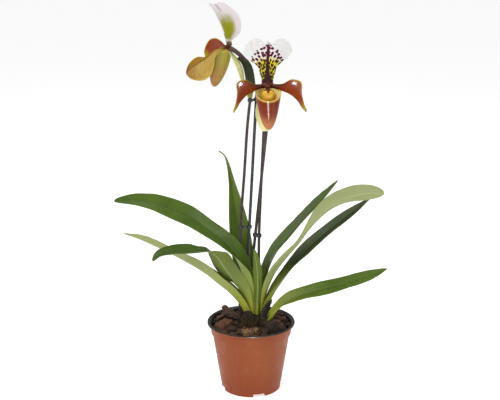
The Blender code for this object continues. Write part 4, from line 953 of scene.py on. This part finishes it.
# %% Petal rails and shape
PETAL_RAILS = {
    "folded": dict(
        upper=[(3.9, -0.5, 2.6), (10, -5, 3.2), (17.5, -11, 4.2), (29, -20, 11.0), (40, -30, 8),
               (39.8, -35, -3), (41.6, -39, -14), (45.0, -43, -23.5)],
        middle=[(3.9, -1.5, -1.2), (10, -7, -2.2), (18.5, -16, -4), (28, -26, -7.5), (36.5, -35, -15),
                (44.6, -43, -25.5)],
        lower=[(3.7, 0.5, -3.8), (9.6, 0, -3.2), (17, -4, -4.2), (26, -10, -7.3), (35, -24, -15.3),
               (44, -42, -26.5)]),
    "cap": dict(
        upper=[(3.9, -0.5, 2.6), (10, -7, 1.5), (16.5, -16, 1.5), (20.5, -26, 7), (25.5, -39, 9.6),
               (29, -50, 6.5), (29.8, -57.5, -3), (28.8, -59.5, -11), (27, -57, -18.5)],
        middle=[(3.9, -1.5, -1.2), (10, -8, -2), (17.5, -18, -3.5), (23, -29, -6), (26.5, -41, -10),
                (28, -51, -15), (27, -55.5, -20.5)],
        lower=[(3.7, 0.5, -3.8), (9.6, -1, -3.8), (18.5, -6, -5), (24.5, -15, -12), (27, -27, -19),
               (27.5, -40, -22.5), (27, -54, -22)]),
    "open": dict(
        upper=[(3.9, -0.5, 2.6), (10, -8, 0.6), (15, -12.5, -2.4), (19.5, -16.5, -7), (23.5, -22, -11.5),
               (31.5, -32, -11), (38, -39, -17), (42, -43, -26), (43, -44, -33)],
        middle=[(3.9, -1.5, -1.2), (12, -10, -0.8), (16.8, -13, -3.2), (20.5, -17, -7.5),
                (24.5, -22.5, -13), (32, -32, -20.5), (39.5, -40, -28.5), (42.5, -43.5, -34)],
        lower=[(3.8, -0.5, -3.8), (11, -3.5, -3.2), (21.0, -8, -8.7), (23.8, -11, -24), (24.6, -14, -35),
               (26.5, -21, -42), (32, -30, -44), (39, -39, -41), (42.5, -43.5, -35.5)]),
}


def petal_grid(rails, rows=81, columns=49):
    """A petal spread over three rails: upper margin, midrib and lower margin."""
    upper, middle, lower = (hermite(PETAL_RAILS[rails][key], rows) for key in ("upper", "middle", "lower"))
    place = np.linspace(0, 1, rows)
    calm = smooth_step(0.15, 0.4, place) * (1 - smooth_step(0.8, 1.0, place))
    lower[:, 0] += calm * np.sin(place * 4 * math.pi)
    share = np.linspace(1, -1, columns)[None, :, None]
    reach = np.where(share > 0, upper[:, None] - middle[:, None], lower[:, None] - middle[:, None])
    spread = np.abs(share) * 0.65 + share**2 * 0.35
    swell = np.array([0.0, -1.5, 0.6]) * np.where(share > 0, share * (1 - share) * 4.0, 0.0)
    return middle[:, None] + spread * reach + swell * np.sin(math.pi * place)[:, None, None]


# %% Petal finish
petal_skin, tree, shader = new_material("petal_varnished", Specular_IOR_Level=0.08, Coat_Weight=0.35,
                                        Coat_Roughness=0.12)
uv, along, across = surface_uv(tree)
streak = cloud(stretched(uv, (3.0, 26.0, 1.0)), 1.0, 4.0)
net = cells(stretched(uv, (9.0, 24.0, 1.0)), feature="DISTANCE_TO_EDGE")
shift = (streak - 0.5) * 0.14
out_way = along + shift
low = rise(across + shift, 0.47, 0.56)
at_mid = fall(abs(across - 0.5), 0.006, 0.03, 0.85) * fall(along, 0.8, 0.97)
under_low = paint(
    (154, 142, 34),
    (rise(out_way, 0.03, 0.26), (180, 150, 74)),
    (fall(net, 0.0, 0.1, 0.45), (140, 98, 40)),
    (rise(out_way, 0.62, 0.95, 0.55), (140, 84, 52)),
    (rise(streak, 0.55, 0.8, 0.5), (206, 186, 122)))
back = paint(
    (80, 34, 14),
    (rise(out_way, 0.04, 0.3), (150, 108, 24)),
    (rise(out_way, 0.74, 0.96, 0.75), (120, 56, 34)),
    (low, under_low),
    (at_mid, (104, 58, 26)))
colour = paint(
    (66, 16, 8),
    (rise(out_way, 0.05, 0.42), (138, 54, 10)),
    (rise(out_way, 0.78, 0.97, 0.9), (176, 158, 34)),
    (streak * 0.3, (96, 34, 12)),
    (at_mid, (66, 20, 12)),
    (mark(tree, "under"), back),
    (fall(across + shift * 0.2, 0.0, 0.055, 0.85), (190, 160, 40)),
    (rise(across, 0.94, 1.0, 0.75), (196, 170, 70)))
feed(rise(mark(tree, "under"), 0.0, 1.0, 0.02, 0.35), shader.inputs["Coat Weight"])
rough = spread(streak, 0.25, 0.45) + mark(tree, "under") * 0.25
finish_with(shader, colour, rough, streak + net * 0.5, 0.00008, 0.4)

for key, flower in FLOWERS.items():
    for side_name, side, rails in zip(("left", "right"), (-1, 1), flower["petals"]):
        middle = place_flower(petal_grid(rails) * np.array([side, 1, 1]), flower)
        node = f"{key}_{side_name}_petal"
        make_sheet(node + "_sheet", node, middle, petal_skin, "petal", flip=side < 0)

# %% [markdown]
# ## The lower sepal
# Behind the pouch hangs one pale green sepal, cupped like a spoon, with green veins and a few dark specks
# near its foot. On the rear flower it is darkened by painted shade.

# %% Lower sepal


def lower_sepal_grid(swing, length, half_width, lean, cup, rows=60, columns=41):
    """The broad sepal behind the pouch: an egg-shaped cup that swings back by `swing` degrees."""
    place = np.linspace(0, 1, rows)[:, None]
    side = np.linspace(-1, 1, columns)[None, :]
    half = 2.2 + (half_width - 2.2) * np.sin(math.pi * np.clip(place * 0.94 + 0.02, 0, 1)) ** 0.75
    across = half * side + lean * place
    down = length * place + 0 * side
    back = (cup - 3.5 * side**2) * np.sin(math.pi * place)
    angle = math.radians(swing)
    y = 0.9 + down * math.sin(angle) + back * math.cos(angle)
    z = -4.3 - down * math.cos(angle) + back * math.sin(angle)
    return np.stack([across, y, z], axis=-1)


pale_skin, tree, shader = new_material("lower_sepal_green", Specular_IOR_Level=0.4, Subsurface_Weight=0.1,
                                       Subsurface_Scale=0.003)
uv, along, across = surface_uv(tree)
streak = cloud(stretched(uv, (2.0, 16.0, 1.0)), 1.0, 3.0)
lines = fall(abs(calc("SINE", across * 34.0)), 0.0, 0.22, 0.5)
speck = cells(stretched(uv, (16.0, 11.0, 1.0)))
colour = paint(
    (228, 230, 146),
    (streak, (246, 244, 192)),
    # painted shade: a darker colour on the rear flower's lower sepal
    (mark(tree, "shade"), (178, 178, 96)),
    (lines, (128, 148, 62)),
    (fall(speck, 0.16, 0.24) * fall(along, 0.1, 0.3, 0.9), (90, 40, 30)),
    (rise(abs(across - 0.5), 0.44, 0.5, 0.7), (228, 228, 190)))
finish_with(shader, colour, spread(streak, 0.38, 0.55), streak + lines, 0.0002, 0.5)

for key, flower in FLOWERS.items():
    middle = place_flower(lower_sepal_grid(*flower["sepal"]), flower)
    make_sheet(key + "_lower_sepal_cup", key + "_lower_sepal", middle, pale_skin, "sepal", flip=True,
               shade=flower["shade"])

# %% [markdown]
# ## The pouch
# The slipper is a thin-walled bag that is open at the top. Rings run from its rim to its toe: low in front,
# high at the two ears and joined at the back. The outer skin and the inner skin are the same rings a wall
# thickness apart.

# %% Pouch
POUCH_HALF_WIDTH = 17.0
POUCH_HALF_DEPTH = 12.7
POUCH_FRONT_RIM = -14.8
POUCH_EAR = -3.6
POUCH_BACK_RIM = -2.2
POUCH_WALL = 1.1


def pouch_rings(rows, around, inset, bottom, belly):
    """Rings of the pouch from rim to toe.

    Seen from above a ring is an ellipse. The rim is low in front, high at the two ears and joined at the
    back. Where s is the depth below the ears as a share of the whole, the half width shrinks as
    (1 - s/2)(1 - s^5)^0.5, and the rings slide forward with s. The back bulges by `belly` a third down, and
    faint ribs run down the skin.
    """
    turn = np.linspace(0, 2 * math.pi, around, endpoint=False)[None, :]
    t = np.sin(np.linspace(0, 1, rows)[:, None] * math.pi / 2)
    front = np.clip(-np.sin(turn), 0, 1)
    rear = np.clip(np.sin(turn), 0, 1)
    rim = POUCH_EAR + (POUCH_FRONT_RIM - POUCH_EAR) * front**0.6 + (POUCH_BACK_RIM - POUCH_EAR) * rear
    depth = rim + (bottom + inset - rim) * t
    s = np.clip((depth - POUCH_EAR) / (bottom + inset - POUCH_EAR), 0.0, 1.0)
    toe = np.sqrt(np.maximum(1 - s**5, 0.0))
    pinch = 1 - 0.3 * rear * (1 - t) ** 2
    ribs = 1 - 0.003 * np.cos(10 * turn) ** 2 * smooth_step(0.0, 0.2, s) * (1 - smooth_step(0.7, 0.95, s))
    x = (POUCH_HALF_WIDTH - inset) * np.cos(turn) * (1 - 0.5 * s) * toe * pinch * ribs
    y = -12.6 - 12.0 * s + (POUCH_HALF_DEPTH - inset) * np.sin(turn) * (1 - 0.3 * s) * toe * ribs
    y = y + belly * rear**2 * np.sin(math.pi * s**0.6)
    return np.stack([x, y, depth], axis=-1)


def pouch_parts(bottom, belly, rows=90, around=200):
    """Outer skin, inner skin and rim of the pouch, with a UV map (down, around) and a mark for the inside."""
    skins = [pouch_rings(rows, around, inset, bottom, belly) for inset in (0.0, POUCH_WALL)]
    points = np.concatenate([part for skin in skins for part in (skin[:-1].reshape(-1, 3), skin[-1, :1])])
    size = (rows - 1) * around
    ring = np.arange(around)
    after = np.roll(ring, -1)
    quads = grid_faces(rows - 1, around, closed=True)
    faces = quads.tolist() + (quads[:, ::-1] + size + 1).tolist()
    for base in (0, size + 1):
        faces += pole_faces(ring + size - around + base, size + base)
    faces += np.stack([ring, after, after + size + 1, ring + size + 1], -1).tolist()
    down, turn = np.meshgrid(np.linspace(0, 1, rows - 1), np.arange(around) / around, indexing="ij")
    uv = np.concatenate([np.stack([down, turn], -1).reshape(-1, 2), [[1.0, 0.5]]])
    return points, faces, np.tile(uv, (2, 1)), np.repeat([0.0, 1.0], size + 1)


pouch_skin, tree, shader = new_material("pouch_mahogany", Specular_IOR_Level=0.08, Coat_Weight=0.35,
                                        Coat_Roughness=0.12)
uv, down, turn = surface_uv(tree)
streak = cloud(stretched(uv, (2.5, 34.0, 1.0)), 1.0, 4.0)
level = down + (streak - 0.5) * 0.25
from_front = abs(calc("FRACT", turn - 0.25) - 0.5)
lines = fall(abs(calc("SINE", turn * 63.0)), 0.0, 0.2, 0.12)
specks = cells(stretched(uv, (16.0, 40.0, 1.0)))
flank = paint(
    (166, 156, 60),
    (rise(level, 0.05, 0.5), (172, 134, 62)),
    (rise(level, 0.5, 0.95), (152, 108, 60)))
colour = paint(
    (118, 44, 12),
    (rise(level, 0.02, 0.3), (124, 48, 18)),
    (rise(level, 0.26, 0.62), (174, 110, 62)),
    (rise(level, 0.66, 0.95), (170, 136, 62)),
    (rise(from_front + streak * 0.04, 0.23, 0.33), flank),
    (lines, (98, 38, 18)),
    (fall(down, 0.0, 0.055, 0.9), (226, 188, 90)),
    (mark(tree, "under"), blend(fall(specks, 0.2, 0.34, 0.8), (246, 222, 132), (120, 56, 26))))
finish_with(shader, colour, spread(streak, 0.25, 0.4), streak + lines, 0.00004, 0.4)

for key, flower in FLOWERS.items():
    points, faces, uv_map, inside = pouch_parts(*flower["pouch"])
    make_piece(key + "_pouch_bag", place_flower(points, flower), faces, pouch_skin, [key + "_pouch"],
               uv_map, {"under": inside})

# %% [markdown]
# ## The column and its shield
# In front of the pouch's mouth hangs a golden shield with a warty knob in its middle. It stands on a short
# column, with a rounded body at each side for the pollen.

# %% Column and shield


def egg_parts(centre, size, power=1.0, rings=28, around=40, bumps=0.0, dent=0.0):
    """A closed egg in the flower's frame; a power under 1 makes it squarer, and `bumps` roughen it.

    `dent` presses the middle of the front in by a bell curve, which leaves a raised rim.
    """
    polar = np.arange(1, rings)[:, None] * math.pi / rings
    turn = circle(around)[None, :]
    flat = np.sin(polar) ** power
    shell = np.stack([flat * np.cos(turn), flat * np.sin(turn), np.cos(polar) + 0 * turn], axis=-1)
    shell = shell * (1 + bumps * np.sin(9 * turn + 4 * polar) * np.sin(7 * polar))[..., None]
    bell = np.exp(-((shell[..., 0] / 0.55) ** 2) - (shell[..., 2] / 0.55) ** 2)
    shell[..., 1] += dent * bell * (shell[..., 1] < 0)
    points = np.concatenate([[[0, 0, 1.0]], shell.reshape(-1, 3), [[0, 0, -1.0]]]) * size + centre
    last = len(points) - 1
    ring = np.arange(around) + 1
    faces = (grid_faces(rings - 1, around, closed=True) + 1).tolist()
    faces += pole_faces(ring, 0) + pole_faces(ring + last - around - 1, last)
    return points, faces


def joined(parts):
    """Several closed bodies as one list of points and one of faces, and which body each point is from."""
    points, faces, owner, start = [], [], [], 0
    for number, (more, corners) in enumerate(parts):
        points.append(more)
        faces += [[index + start for index in face] for face in corners]
        owner.append(np.full(len(more), float(number)))
        start += len(more)
    return np.concatenate(points), faces, np.concatenate(owner)


shield_skin, tree, shader = new_material("shield_gold", Specular_IOR_Level=0.15, Coat_Weight=0.05,
                                         Coat_Roughness=0.2, Subsurface_Weight=0.2, Subsurface_Scale=0.004)
grain = grainy(tree, 700.0, 1.6)
blot = grainy(tree, 220.0, 1.4)
colour = paint(
    (228, 166, 12),
    (blot, (244, 202, 50)),
    (rise(mark(tree, "dark"), 0.2, 0.8), blend(blot, (70, 22, 16), (112, 52, 24))))
finish_with(shader, colour, spread(grain, 0.25, 0.5), grain, 0.0002, 0.6)

for key, flower in FLOWERS.items():
    points, faces, owner = joined([
        egg_parts((0, -2.2, 0.4), (4.4, 3.4, 3.6)),
        egg_parts((0, -1.6, 2.6), (8.2, 1.9, 2.6), 0.7),
        egg_parts((0, -7.8, -4.4), (2.8, 5.4, 3.4)),
        egg_parts((0, -12.6, -9.6), (7.5, 2.0, 6.6), 0.5, 40, 56, 0.02, 0.35),
        egg_parts((0, -14.3, -4.6), (1.5, 1.0, 1.9), 1.0, 20, 28, 0.12),
        egg_parts((-3.6, -8.2, -5.4), (1.7, 2.0, 1.8), 1.0, 18, 24, 0.03),
        egg_parts((3.6, -8.2, -5.4), (1.7, 2.0, 1.8), 1.0, 18, 24, 0.03),
    ])
    height = points[:, 2]
    dark = np.select([owner < 2, owner == 4, owner == 3], [1.0, 0.8, smooth_step(-4.6, -3.2, height)],
                     0.55 + 0.45 * smooth_step(-6.0, -3.0, height))
    make_piece(key + "_column_shield", place_flower(points, flower), faces, shield_skin,
               [key + "_column"], None, {"dark": dark})

# %% [markdown]
# ## The pot
# A nursery pot is blown or moulded so thin that its wall is one curve: a rolled lip, a collar, a shoulder
# and a long taper to a notched foot. Its outline is turned round the upright axis. The notches and the drain
# holes are cut afterwards, because a turned surface can't have them.

# %% Pot shape
POT_SIDES = 144
POT_RIM_RADIUS = 60.0
POT_HEIGHT = 96.0
POT_WALL = 1.1
COLLAR_TOP_RADIUS = 55.8
COLLAR_FOOT_RADIUS = 54.6
COLLAR_FOOT_Z = 75.5
CREASE_Z = 80.0                 # where the crease shows outside
BODY_TOP_RADIUS = 52.6
BODY_FOOT_RADIUS = 42.0
BODY_FOOT_Z = 10.0
FOOT_RADIUS = 40.6
REST_DISC_RADIUS = 14.0
FLOOR_RISE = 3.0

OUTSIDE = [
    (0.0, 0.0), (REST_DISC_RADIUS, 0.0), (REST_DISC_RADIUS + 2.0, FLOOR_RISE), (35.5, FLOOR_RISE), (37.5, 0.0),
    (FOOT_RADIUS - 0.6, 0.0), (FOOT_RADIUS, 0.6), (FOOT_RADIUS + 0.5, BODY_FOOT_Z - 1.4),
    (FOOT_RADIUS + 0.8, BODY_FOOT_Z - 0.5), (BODY_FOOT_RADIUS, BODY_FOOT_Z),
    (BODY_TOP_RADIUS + 0.05, CREASE_Z - 2.6), (BODY_TOP_RADIUS + 0.4, CREASE_Z - 1.5),
    (BODY_TOP_RADIUS + 1.3, CREASE_Z - 0.9), (COLLAR_FOOT_RADIUS - 0.1, CREASE_Z - 0.4),
    (COLLAR_FOOT_RADIUS + 0.2, CREASE_Z + 0.5), (COLLAR_TOP_RADIUS, POT_HEIGHT - 4.1),
    (COLLAR_TOP_RADIUS + 0.6, POT_HEIGHT - 3.6), (POT_RIM_RADIUS - 1.6, POT_HEIGHT - 3.3),
    (POT_RIM_RADIUS - 0.5, POT_HEIGHT - 3.0), (POT_RIM_RADIUS, POT_HEIGHT - 2.4),
    (POT_RIM_RADIUS, POT_HEIGHT - 1.2),
]
INSIDE = [
    (POT_RIM_RADIUS - 0.4, POT_HEIGHT - 0.4), (POT_RIM_RADIUS - 1.2, POT_HEIGHT),
    (POT_RIM_RADIUS - 2.6, POT_HEIGHT - 0.1), (COLLAR_TOP_RADIUS - POT_WALL + 1.2, POT_HEIGHT - 1.2),
    (COLLAR_TOP_RADIUS - POT_WALL, POT_HEIGHT - 2.6), (COLLAR_FOOT_RADIUS - POT_WALL, CREASE_Z + 0.6),
    (BODY_TOP_RADIUS - POT_WALL, CREASE_Z - 1.8), (BODY_FOOT_RADIUS - POT_WALL, BODY_FOOT_Z),
    (FOOT_RADIUS - POT_WALL, FLOOR_RISE + 2.2), (36.0, FLOOR_RISE + 1.3),
    (REST_DISC_RADIUS + 1.0, FLOOR_RISE + 1.3), (REST_DISC_RADIUS - 1.0, 1.4), (0.0, 1.4),
]


def turned_parts(profile, sides):
    """A body turned round the Z axis from a closed outline whose first and last points are on the axis."""
    outline = np.array(profile[1:-1], float)
    turn = circle(sides)
    points = np.stack([outline[:, :1] * np.cos(turn), outline[:, :1] * np.sin(turn),
                       outline[:, 1:] + 0 * turn], axis=-1).reshape(-1, 3)
    ring, size = np.arange(sides), len(points)
    faces = grid_faces(len(outline), sides, closed=True).tolist() + pole_faces(ring, size)
    faces += pole_faces(ring + size - sides, size + 1)
    return np.concatenate([points, [(0.0, 0.0, profile[0][1]), (0.0, 0.0, profile[-1][1])]]), faces


def cutter(points, faces):
    """A solid to cut the pot with, in the pot's finish."""
    mesh = bpy.data.meshes.new("cutter")
    mesh.from_pydata((points * MM).tolist(), [], faces)
    mesh.materials.append(terracotta)
    made = bpy.data.objects.new("cutter", mesh)
    bpy.context.scene.collection.objects.link(made)
    return made


def cut_away(piece, cutters):
    """Cut solids out of a piece with exact Booleans, and remove the cutters."""
    for block in cutters:
        step = piece.modifiers.new("cut", "BOOLEAN")
        step.operation, step.solver, step.object = "DIFFERENCE", "EXACT", block
        bpy.context.view_layer.update()
        mesh = bpy.data.meshes.new_from_object(piece.evaluated_get(bpy.context.evaluated_depsgraph_get()))
        piece.modifiers.clear()
        piece.data = mesh
        bpy.data.objects.remove(block, do_unlink=True)


# %% Pot finish
terracotta, tree, shader = new_material("pot_terracotta", Specular_IOR_Level=0.25)
place = in_object(tree)
height = place_node(tree, "SeparateXYZ", {0: place}, 2)
flow = cloud(stretched(place, (1.0, 1.0, 0.12)), 60.0, 4.0)
dust = grainy(tree, 90.0, 1.8)
grain = grainy(tree, 1600.0, 1.0)
colour = paint(
    (136, 62, 22),
    (rise(flow, 0.3, 0.7), (144, 72, 30)),
    (rise(dust, 0.5, 0.9, 0.2), (158, 100, 72)),
    (fall(height, 0.0, 0.045, 0.5), (132, 52, 20)))
finish_with(shader, colour, spread(dust, 0.38, 0.58), grain + flow * 0.6, 0.00012, 0.5)
pot_black, tree, shader = new_material("pot_black", Specular_IOR_Level=0.4)
dust = grainy(tree, 300.0, 2.0)
colour = blend(rise(dust, 0.4, 0.9, 0.4), (32, 31, 29), (84, 76, 68))
finish_with(shader, colour, spread(dust, 0.22, 0.45), dust, 0.0001, 0.5)

# %% Pot piece
points, faces = turned_parts(OUTSIDE + INSIDE, POT_SIDES)
inner = np.arange(len(OUTSIDE + INSIDE) - 3) >= len(OUTSIDE) - 2
kind = np.concatenate([np.repeat(inner, POT_SIDES), np.zeros(POT_SIDES), np.ones(POT_SIDES)]).astype(int)
pot = make_piece("pot_shell", points, faces, [terracotta, pot_black], ["pot"],
                 sharp=35.0, face_finish=kind)
box = np.array([(x, y, z) for x in (35.5, 43.5) for y in (-8.5, 8.5) for z in (-4.2, 4.2)])
box_faces = [(0, 1, 3, 2), (4, 6, 7, 5), (0, 4, 5, 1), (2, 3, 7, 6), (0, 2, 6, 4), (1, 5, 7, 3)]
cutters = [cutter(turned(box, math.radians(90.0 * k - 74.0)), box_faces) for k in range(4)]
points, faces = turned_parts([(0, -1), (3.6, -1), (3.6, 9), (0, 9)], 28)
for k in range(6):
    angle = math.pi * (2 * k + 1) / 6
    cutters.append(cutter(points + np.array([26 * math.cos(angle), 26 * math.sin(angle), 0]), faces))
cut_away(pot, cutters)
print("pot with notches and drain holes, faces:", len(pot.data.polygons))

# %% [markdown]
# ## The bark
# Orchid mix is broken fir bark. Each chip starts as a block with uneven corners. A round grid is pushed out
# to the block's faces, its corners are rounded a little, and waves along the grain leave it splintered. The
# chips that show most lie where the CAD model has them. Small crumbs fill the gaps between them.

# %% Bark finish
bark_skin, tree, shader = new_material("bark_brown", Specular_IOR_Level=0.25)
place = in_object(tree)
tone = mark(tree, "tone")
fleck = cloud(place, 420.0, 5.0, 0.65)
patch = cloud(place, 90.0, 3.0)
colour = paint(
    (26, 18, 15),
    (rise(tone, 0.0, 0.55), (112, 78, 56)),
    (rise(tone, 0.66, 0.8), (126, 80, 54)),
    (rise(tone, 0.88, 0.98), (172, 130, 88)),
    (fall(fleck, 0.36, 0.6, 0.85), (12, 8, 6)),
    (rise(patch, 0.6, 0.8, 0.4), (134, 112, 92)))
finish_with(shader, colour, spread(fleck, 0.5, 0.9), fleck + patch, 0.0012, 1.0)

# %% Bark pieces
BARK_TOP = 84.0
CHIP_COUNT = 38
GOLDEN_ANGLE = 2.39996          # in radians: chips laid out by it never line up
GOLDEN_SHARE = 0.381966         # the same as a share of a full turn
CORNERS = np.array([(x, y, z) for x in (-0.5, 0.5) for y in (-0.5, 0.5) for z in (-0.5, 0.5)])


def rough_chip(centre, uneven, size, turn, tilt, seed, rings=14, around=22):
    """A splintered chip inside a block whose eight corners are moved by `uneven`.

    A direction over a ball goes out to the block's face, 88 parts in 100, and to the ball, 12 parts. The
    block's corners pull on each point by how near it is. Waves along the grain push it in and out.
    """
    draw = np.random.default_rng(seed)
    way, faces = egg_parts((0, 0, 0), (1, 1, 1), 1.0, rings, around)
    way = unit(way)
    cube = way / np.abs(way).max(axis=1, keepdims=True)
    place = 0.5 * (0.88 * cube + 0.12 * way)
    weight = np.prod(np.where(CORNERS[None] > 0, 0.5 + place[:, None], 0.5 - place[:, None]), axis=2)
    block = (weight @ (CORNERS * (1 + uneven))) * size
    grain = np.sin(block[:, 1] * draw.uniform(2.2, 3.4) + 2 * np.sin(block[:, 0] * 0.35 + draw.uniform(0, 6)))
    knots = np.sin(block[:, 0] * 0.9 + draw.uniform(0, 6)) * np.sin(block[:, 2] * 1.3 + draw.uniform(0, 6))
    block = block + way * (0.28 * grain + 0.45 * knots)[:, None]
    c, s = math.cos(tilt), math.sin(tilt)
    leaned = block @ np.array([[c, 0, s], [0, 1, 0], [-s, 0, c]])
    return turned(leaned, turn) + centre, faces


def inner_radius(height):
    """How far bark may reach from the axis at each height."""
    return np.interp(height, [4.0, COLLAR_FOOT_Z, POT_HEIGHT - 2.0, POT_HEIGHT + 14.0],
                     [39.0, COLLAR_FOOT_RADIUS - 2.0, COLLAR_TOP_RADIUS - 2.0, 53.0])


def block_corners():
    """How far each of a block's eight corners is moved."""
    return np.array([[draw.uniform(-0.28, 0.22) for _ in range(3)] for _ in range(8)])


draw = random.Random(12)
chips, tones = [], []
for k in range(CHIP_COUNT):
    radius = 46.5 * math.sqrt((k + 0.5) / CHIP_COUNT)
    angle = k * GOLDEN_ANGLE + draw.uniform(-0.2, 0.2)
    size = (draw.uniform(13, 24), draw.uniform(9, 14), draw.uniform(5, 8))
    height = BARK_TOP + draw.uniform(0.5, 4.5)
    turn, tilt = draw.uniform(0, math.pi), draw.uniform(-0.4, 0.4)
    place = (radius * math.cos(angle), radius * math.sin(angle), height)
    chips.append(rough_chip(place, block_corners(), size, turn, tilt, k))
    tones.append(k * GOLDEN_SHARE % 1.0 * 0.7)
for centre, size, turn, tilt, tone in (
        ((-29, 26, 95), (22, 11, 9), 0.5, -0.55, 0.35), ((-33, 30, 100), (17, 8, 6), 2.6, 0.5, 0.5),
        ((-5, -35, 91), (17, 12, 10), 0.3, 0.15, 0.95), ((-33, -20, 89), (24, 16, 8), 0.9, 0.1, 0.3),
        ((-37, -10, 93), (24, 19, 9), 0.9, 0.2, 0.78), ((6, -31, 93), (9, 7, 7), 0.8, 0.3, 0.97),
        ((-26, 18, 97), (20, 10, 7), 0.2, -0.3, 0.4), ((-41, 14, 96), (16, 5, 4), 0.5, 0.35, 0.45),
        ((30, -25, 94), (19, 12, 9), 0.4, 0.3, 0.15), ((20, -30, 92), (14, 10, 9), 1.1, -0.2, 0.25),
        ((38, -17, 95), (18, 9, 8), 1.9, 0.35, 0.2), ((41, 8, 95), (21, 8, 5), 0.5, -0.4, 0.35),
        ((33, 17, 97), (24, 6, 5), 0.1, 0.3, 0.3), ((45, 1, 97), (19, 3, 3), 0.9, -0.45, 0.5),
        ((36, 4, 98), (22, 4, 3), 0.25, -0.35, 0.4), ((27, -14, 98), (15, 9, 8), 0.7, 0.5, 0.12),
        ((29, -27, 99), (16, 7, 11), 0.2, 0.15, 0.1), ((37, -24, 97), (13, 7, 9), 2.7, 0.2, 0.4),
        ((24, -28, 99), (14, 8, 13), 0.2, 0.2, 0.2), ((33, -24, 101), (12, 7, 11), 0.6, -0.3, 0.35)):
    chips.append(rough_chip(centre, block_corners(), size, turn, tilt, len(chips)))
    tones.append(tone)
more = np.random.default_rng(7)
for k in range(260):
    radius, angle = 51.5 * math.sqrt(more.random()), more.uniform(0, 2 * math.pi)
    size = (more.uniform(3, 11), more.uniform(2, 6), more.uniform(1.5, 4))
    centre = (radius * math.cos(angle), radius * math.sin(angle), BARK_TOP + more.uniform(2.5, 8.5))
    chips.append(rough_chip(centre, more.uniform(-0.35, 0.3, (8, 3)), size, more.uniform(0, 3.14),
                            more.uniform(-0.6, 0.6), k + 100, 7, 10))
    tones.append(more.uniform(0, 0.9))
points, faces, owner = joined(chips)
reach = np.linalg.norm(points[:, :2], axis=1)
points[:, :2] *= np.minimum(1.0, inner_radius(points[:, 2]) / np.maximum(reach, 1e-6))[:, None]
make_piece("bark_chips", points, faces, bark_skin, ["bark"], None,
           {"tone": np.array(tones)[owner.astype(int)]}, sharp=38.0)

points, faces = turned_parts([(0, 4.7), (34, 4.7), (39.4, 11), (48, 60), (50.9, 74), (52.6, 78), (52.8, 82),
                              (40, 83.5), (25, 84.5), (10, 85), (0, 85)], 96)
points[:, 2] += 0.9 * np.sin(points[:, 0] * 0.7) * np.sin(points[:, 1] * 0.6) * (points[:, 2] > 80)
make_piece("bark_fill", points, faces, bark_skin, (), None, {"tone": 0.12})

# %% [markdown]
# ## The foot of the plant
# The crown is a short woody stem wrapped in what is left of old leaves: two dry feet that still stand, and
# loose brown fibres.

# %% Crown, dry feet and fibres
dry_skin, tree, shader = new_material("dry_sheath_brown", Specular_IOR_Level=0.2)
place = in_object(tree)
fibre = cloud(stretched(place, (1.0, 1.0, 0.1)), 700.0, 4.0)
blot = cloud(place, 120.0, 3.0)
colour = paint(
    (22, 18, 13),
    (rise(fibre, 0.35, 0.75), (70, 60, 38)),
    (rise(blot, 0.4, 0.7, 0.75), (15, 12, 10)))
finish_with(shader, colour, spread(blot, 0.65, 0.9), fibre + blot, 0.0004, 0.8)

SHEATHS = {
    "sheath_front": dict(half=9, foot=0.95, tip_start=0.5, rows=[
        (-3, -14.6, 95, 0.2, 1, 0, 30, 9), (-4, -15.4, 105, 0.2, 1, 0, 32, 9),
        (-4, -16.5, 116, 0.2, 1, 0.1, 40, 9)]),
    "sheath_old": dict(half=6, foot=0.9, tip_start=0.2, rows=[
        (15, -13.5, 96, -0.2, 1, 0, 35, 6), (19, -13.5, 112, -0.3, 1, 0, 35, 5),
        (28, -13, 131, -0.4, 0.9, 0.2, 40, 4)]),
}
for name, sheath in SHEATHS.items():
    make_blade(name, finish=dry_skin, wave=0.6, waves=7.0, stations=50, columns=25, thickness=1.0,
               slot="dry_sheath", rib=0.1, **sheath)
refinish("crown", dry_skin)

fibre_skin = grain_finish("fibre_brown", 160.0, 2.6, (18, 14, 11), (118, 98, 60), Roughness=0.85,
                          Specular_IOR_Level=0.2)
draw = np.random.default_rng(3)
# Each tuft: middle of its foot, half sizes, lean, how many, shortest and longest fibre
TUFTS = (
    ((7, 0, 93), (17, 12.5, 6), (0, 0, 1.0), 150, 4, 12),
    ((-4, -15.5, 92), (9, 2, 5), (0.1, -0.1, 1.0), 260, 7, 17),
    ((20, -14, 97), (7, 2, 8), (0.45, 0, 1.0), 240, 7, 19),
    ((26, -24, 94), (8, 2, 5), (0.2, -0.1, 1.0), 120, 4, 11))
for number, (middle, half, lean, count, short, long) in enumerate(TUFTS):
    turn = draw.uniform(0, 2 * math.pi, count)
    ring = np.stack([np.cos(turn), np.sin(turn), draw.uniform(-1, 1, count)], -1)
    roots = np.array(middle) + np.array(half) * ring
    ways = np.array(lean) + draw.normal(0, 0.22, (count, 3))
    points, faces = spikes(roots, ways, draw.uniform(short, long, count), 0.35)
    make_piece(f"crown_fibres_{number}", points, faces, fibre_skin)

# %% [markdown]
# ## Clips
# The small clips that tie each stem to its stake keep the CAD shape, in satin black plastic with a little
# dust.

# %% Clips
clip_skin = grain_finish("clip_satin", 500.0, 1.6, (26, 26, 28), (58, 58, 60), (0.3, 0.5),
                         Specular_IOR_Level=0.45)
for name in ("clip_rear_low", "clip_rear_high", "clip_front_low", "clip_front_high"):
    refinish(name, clip_skin)

# %% Finish
low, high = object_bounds()
print("visual box in mm:", [round(1000 * v, 1) for v in (high - low)])
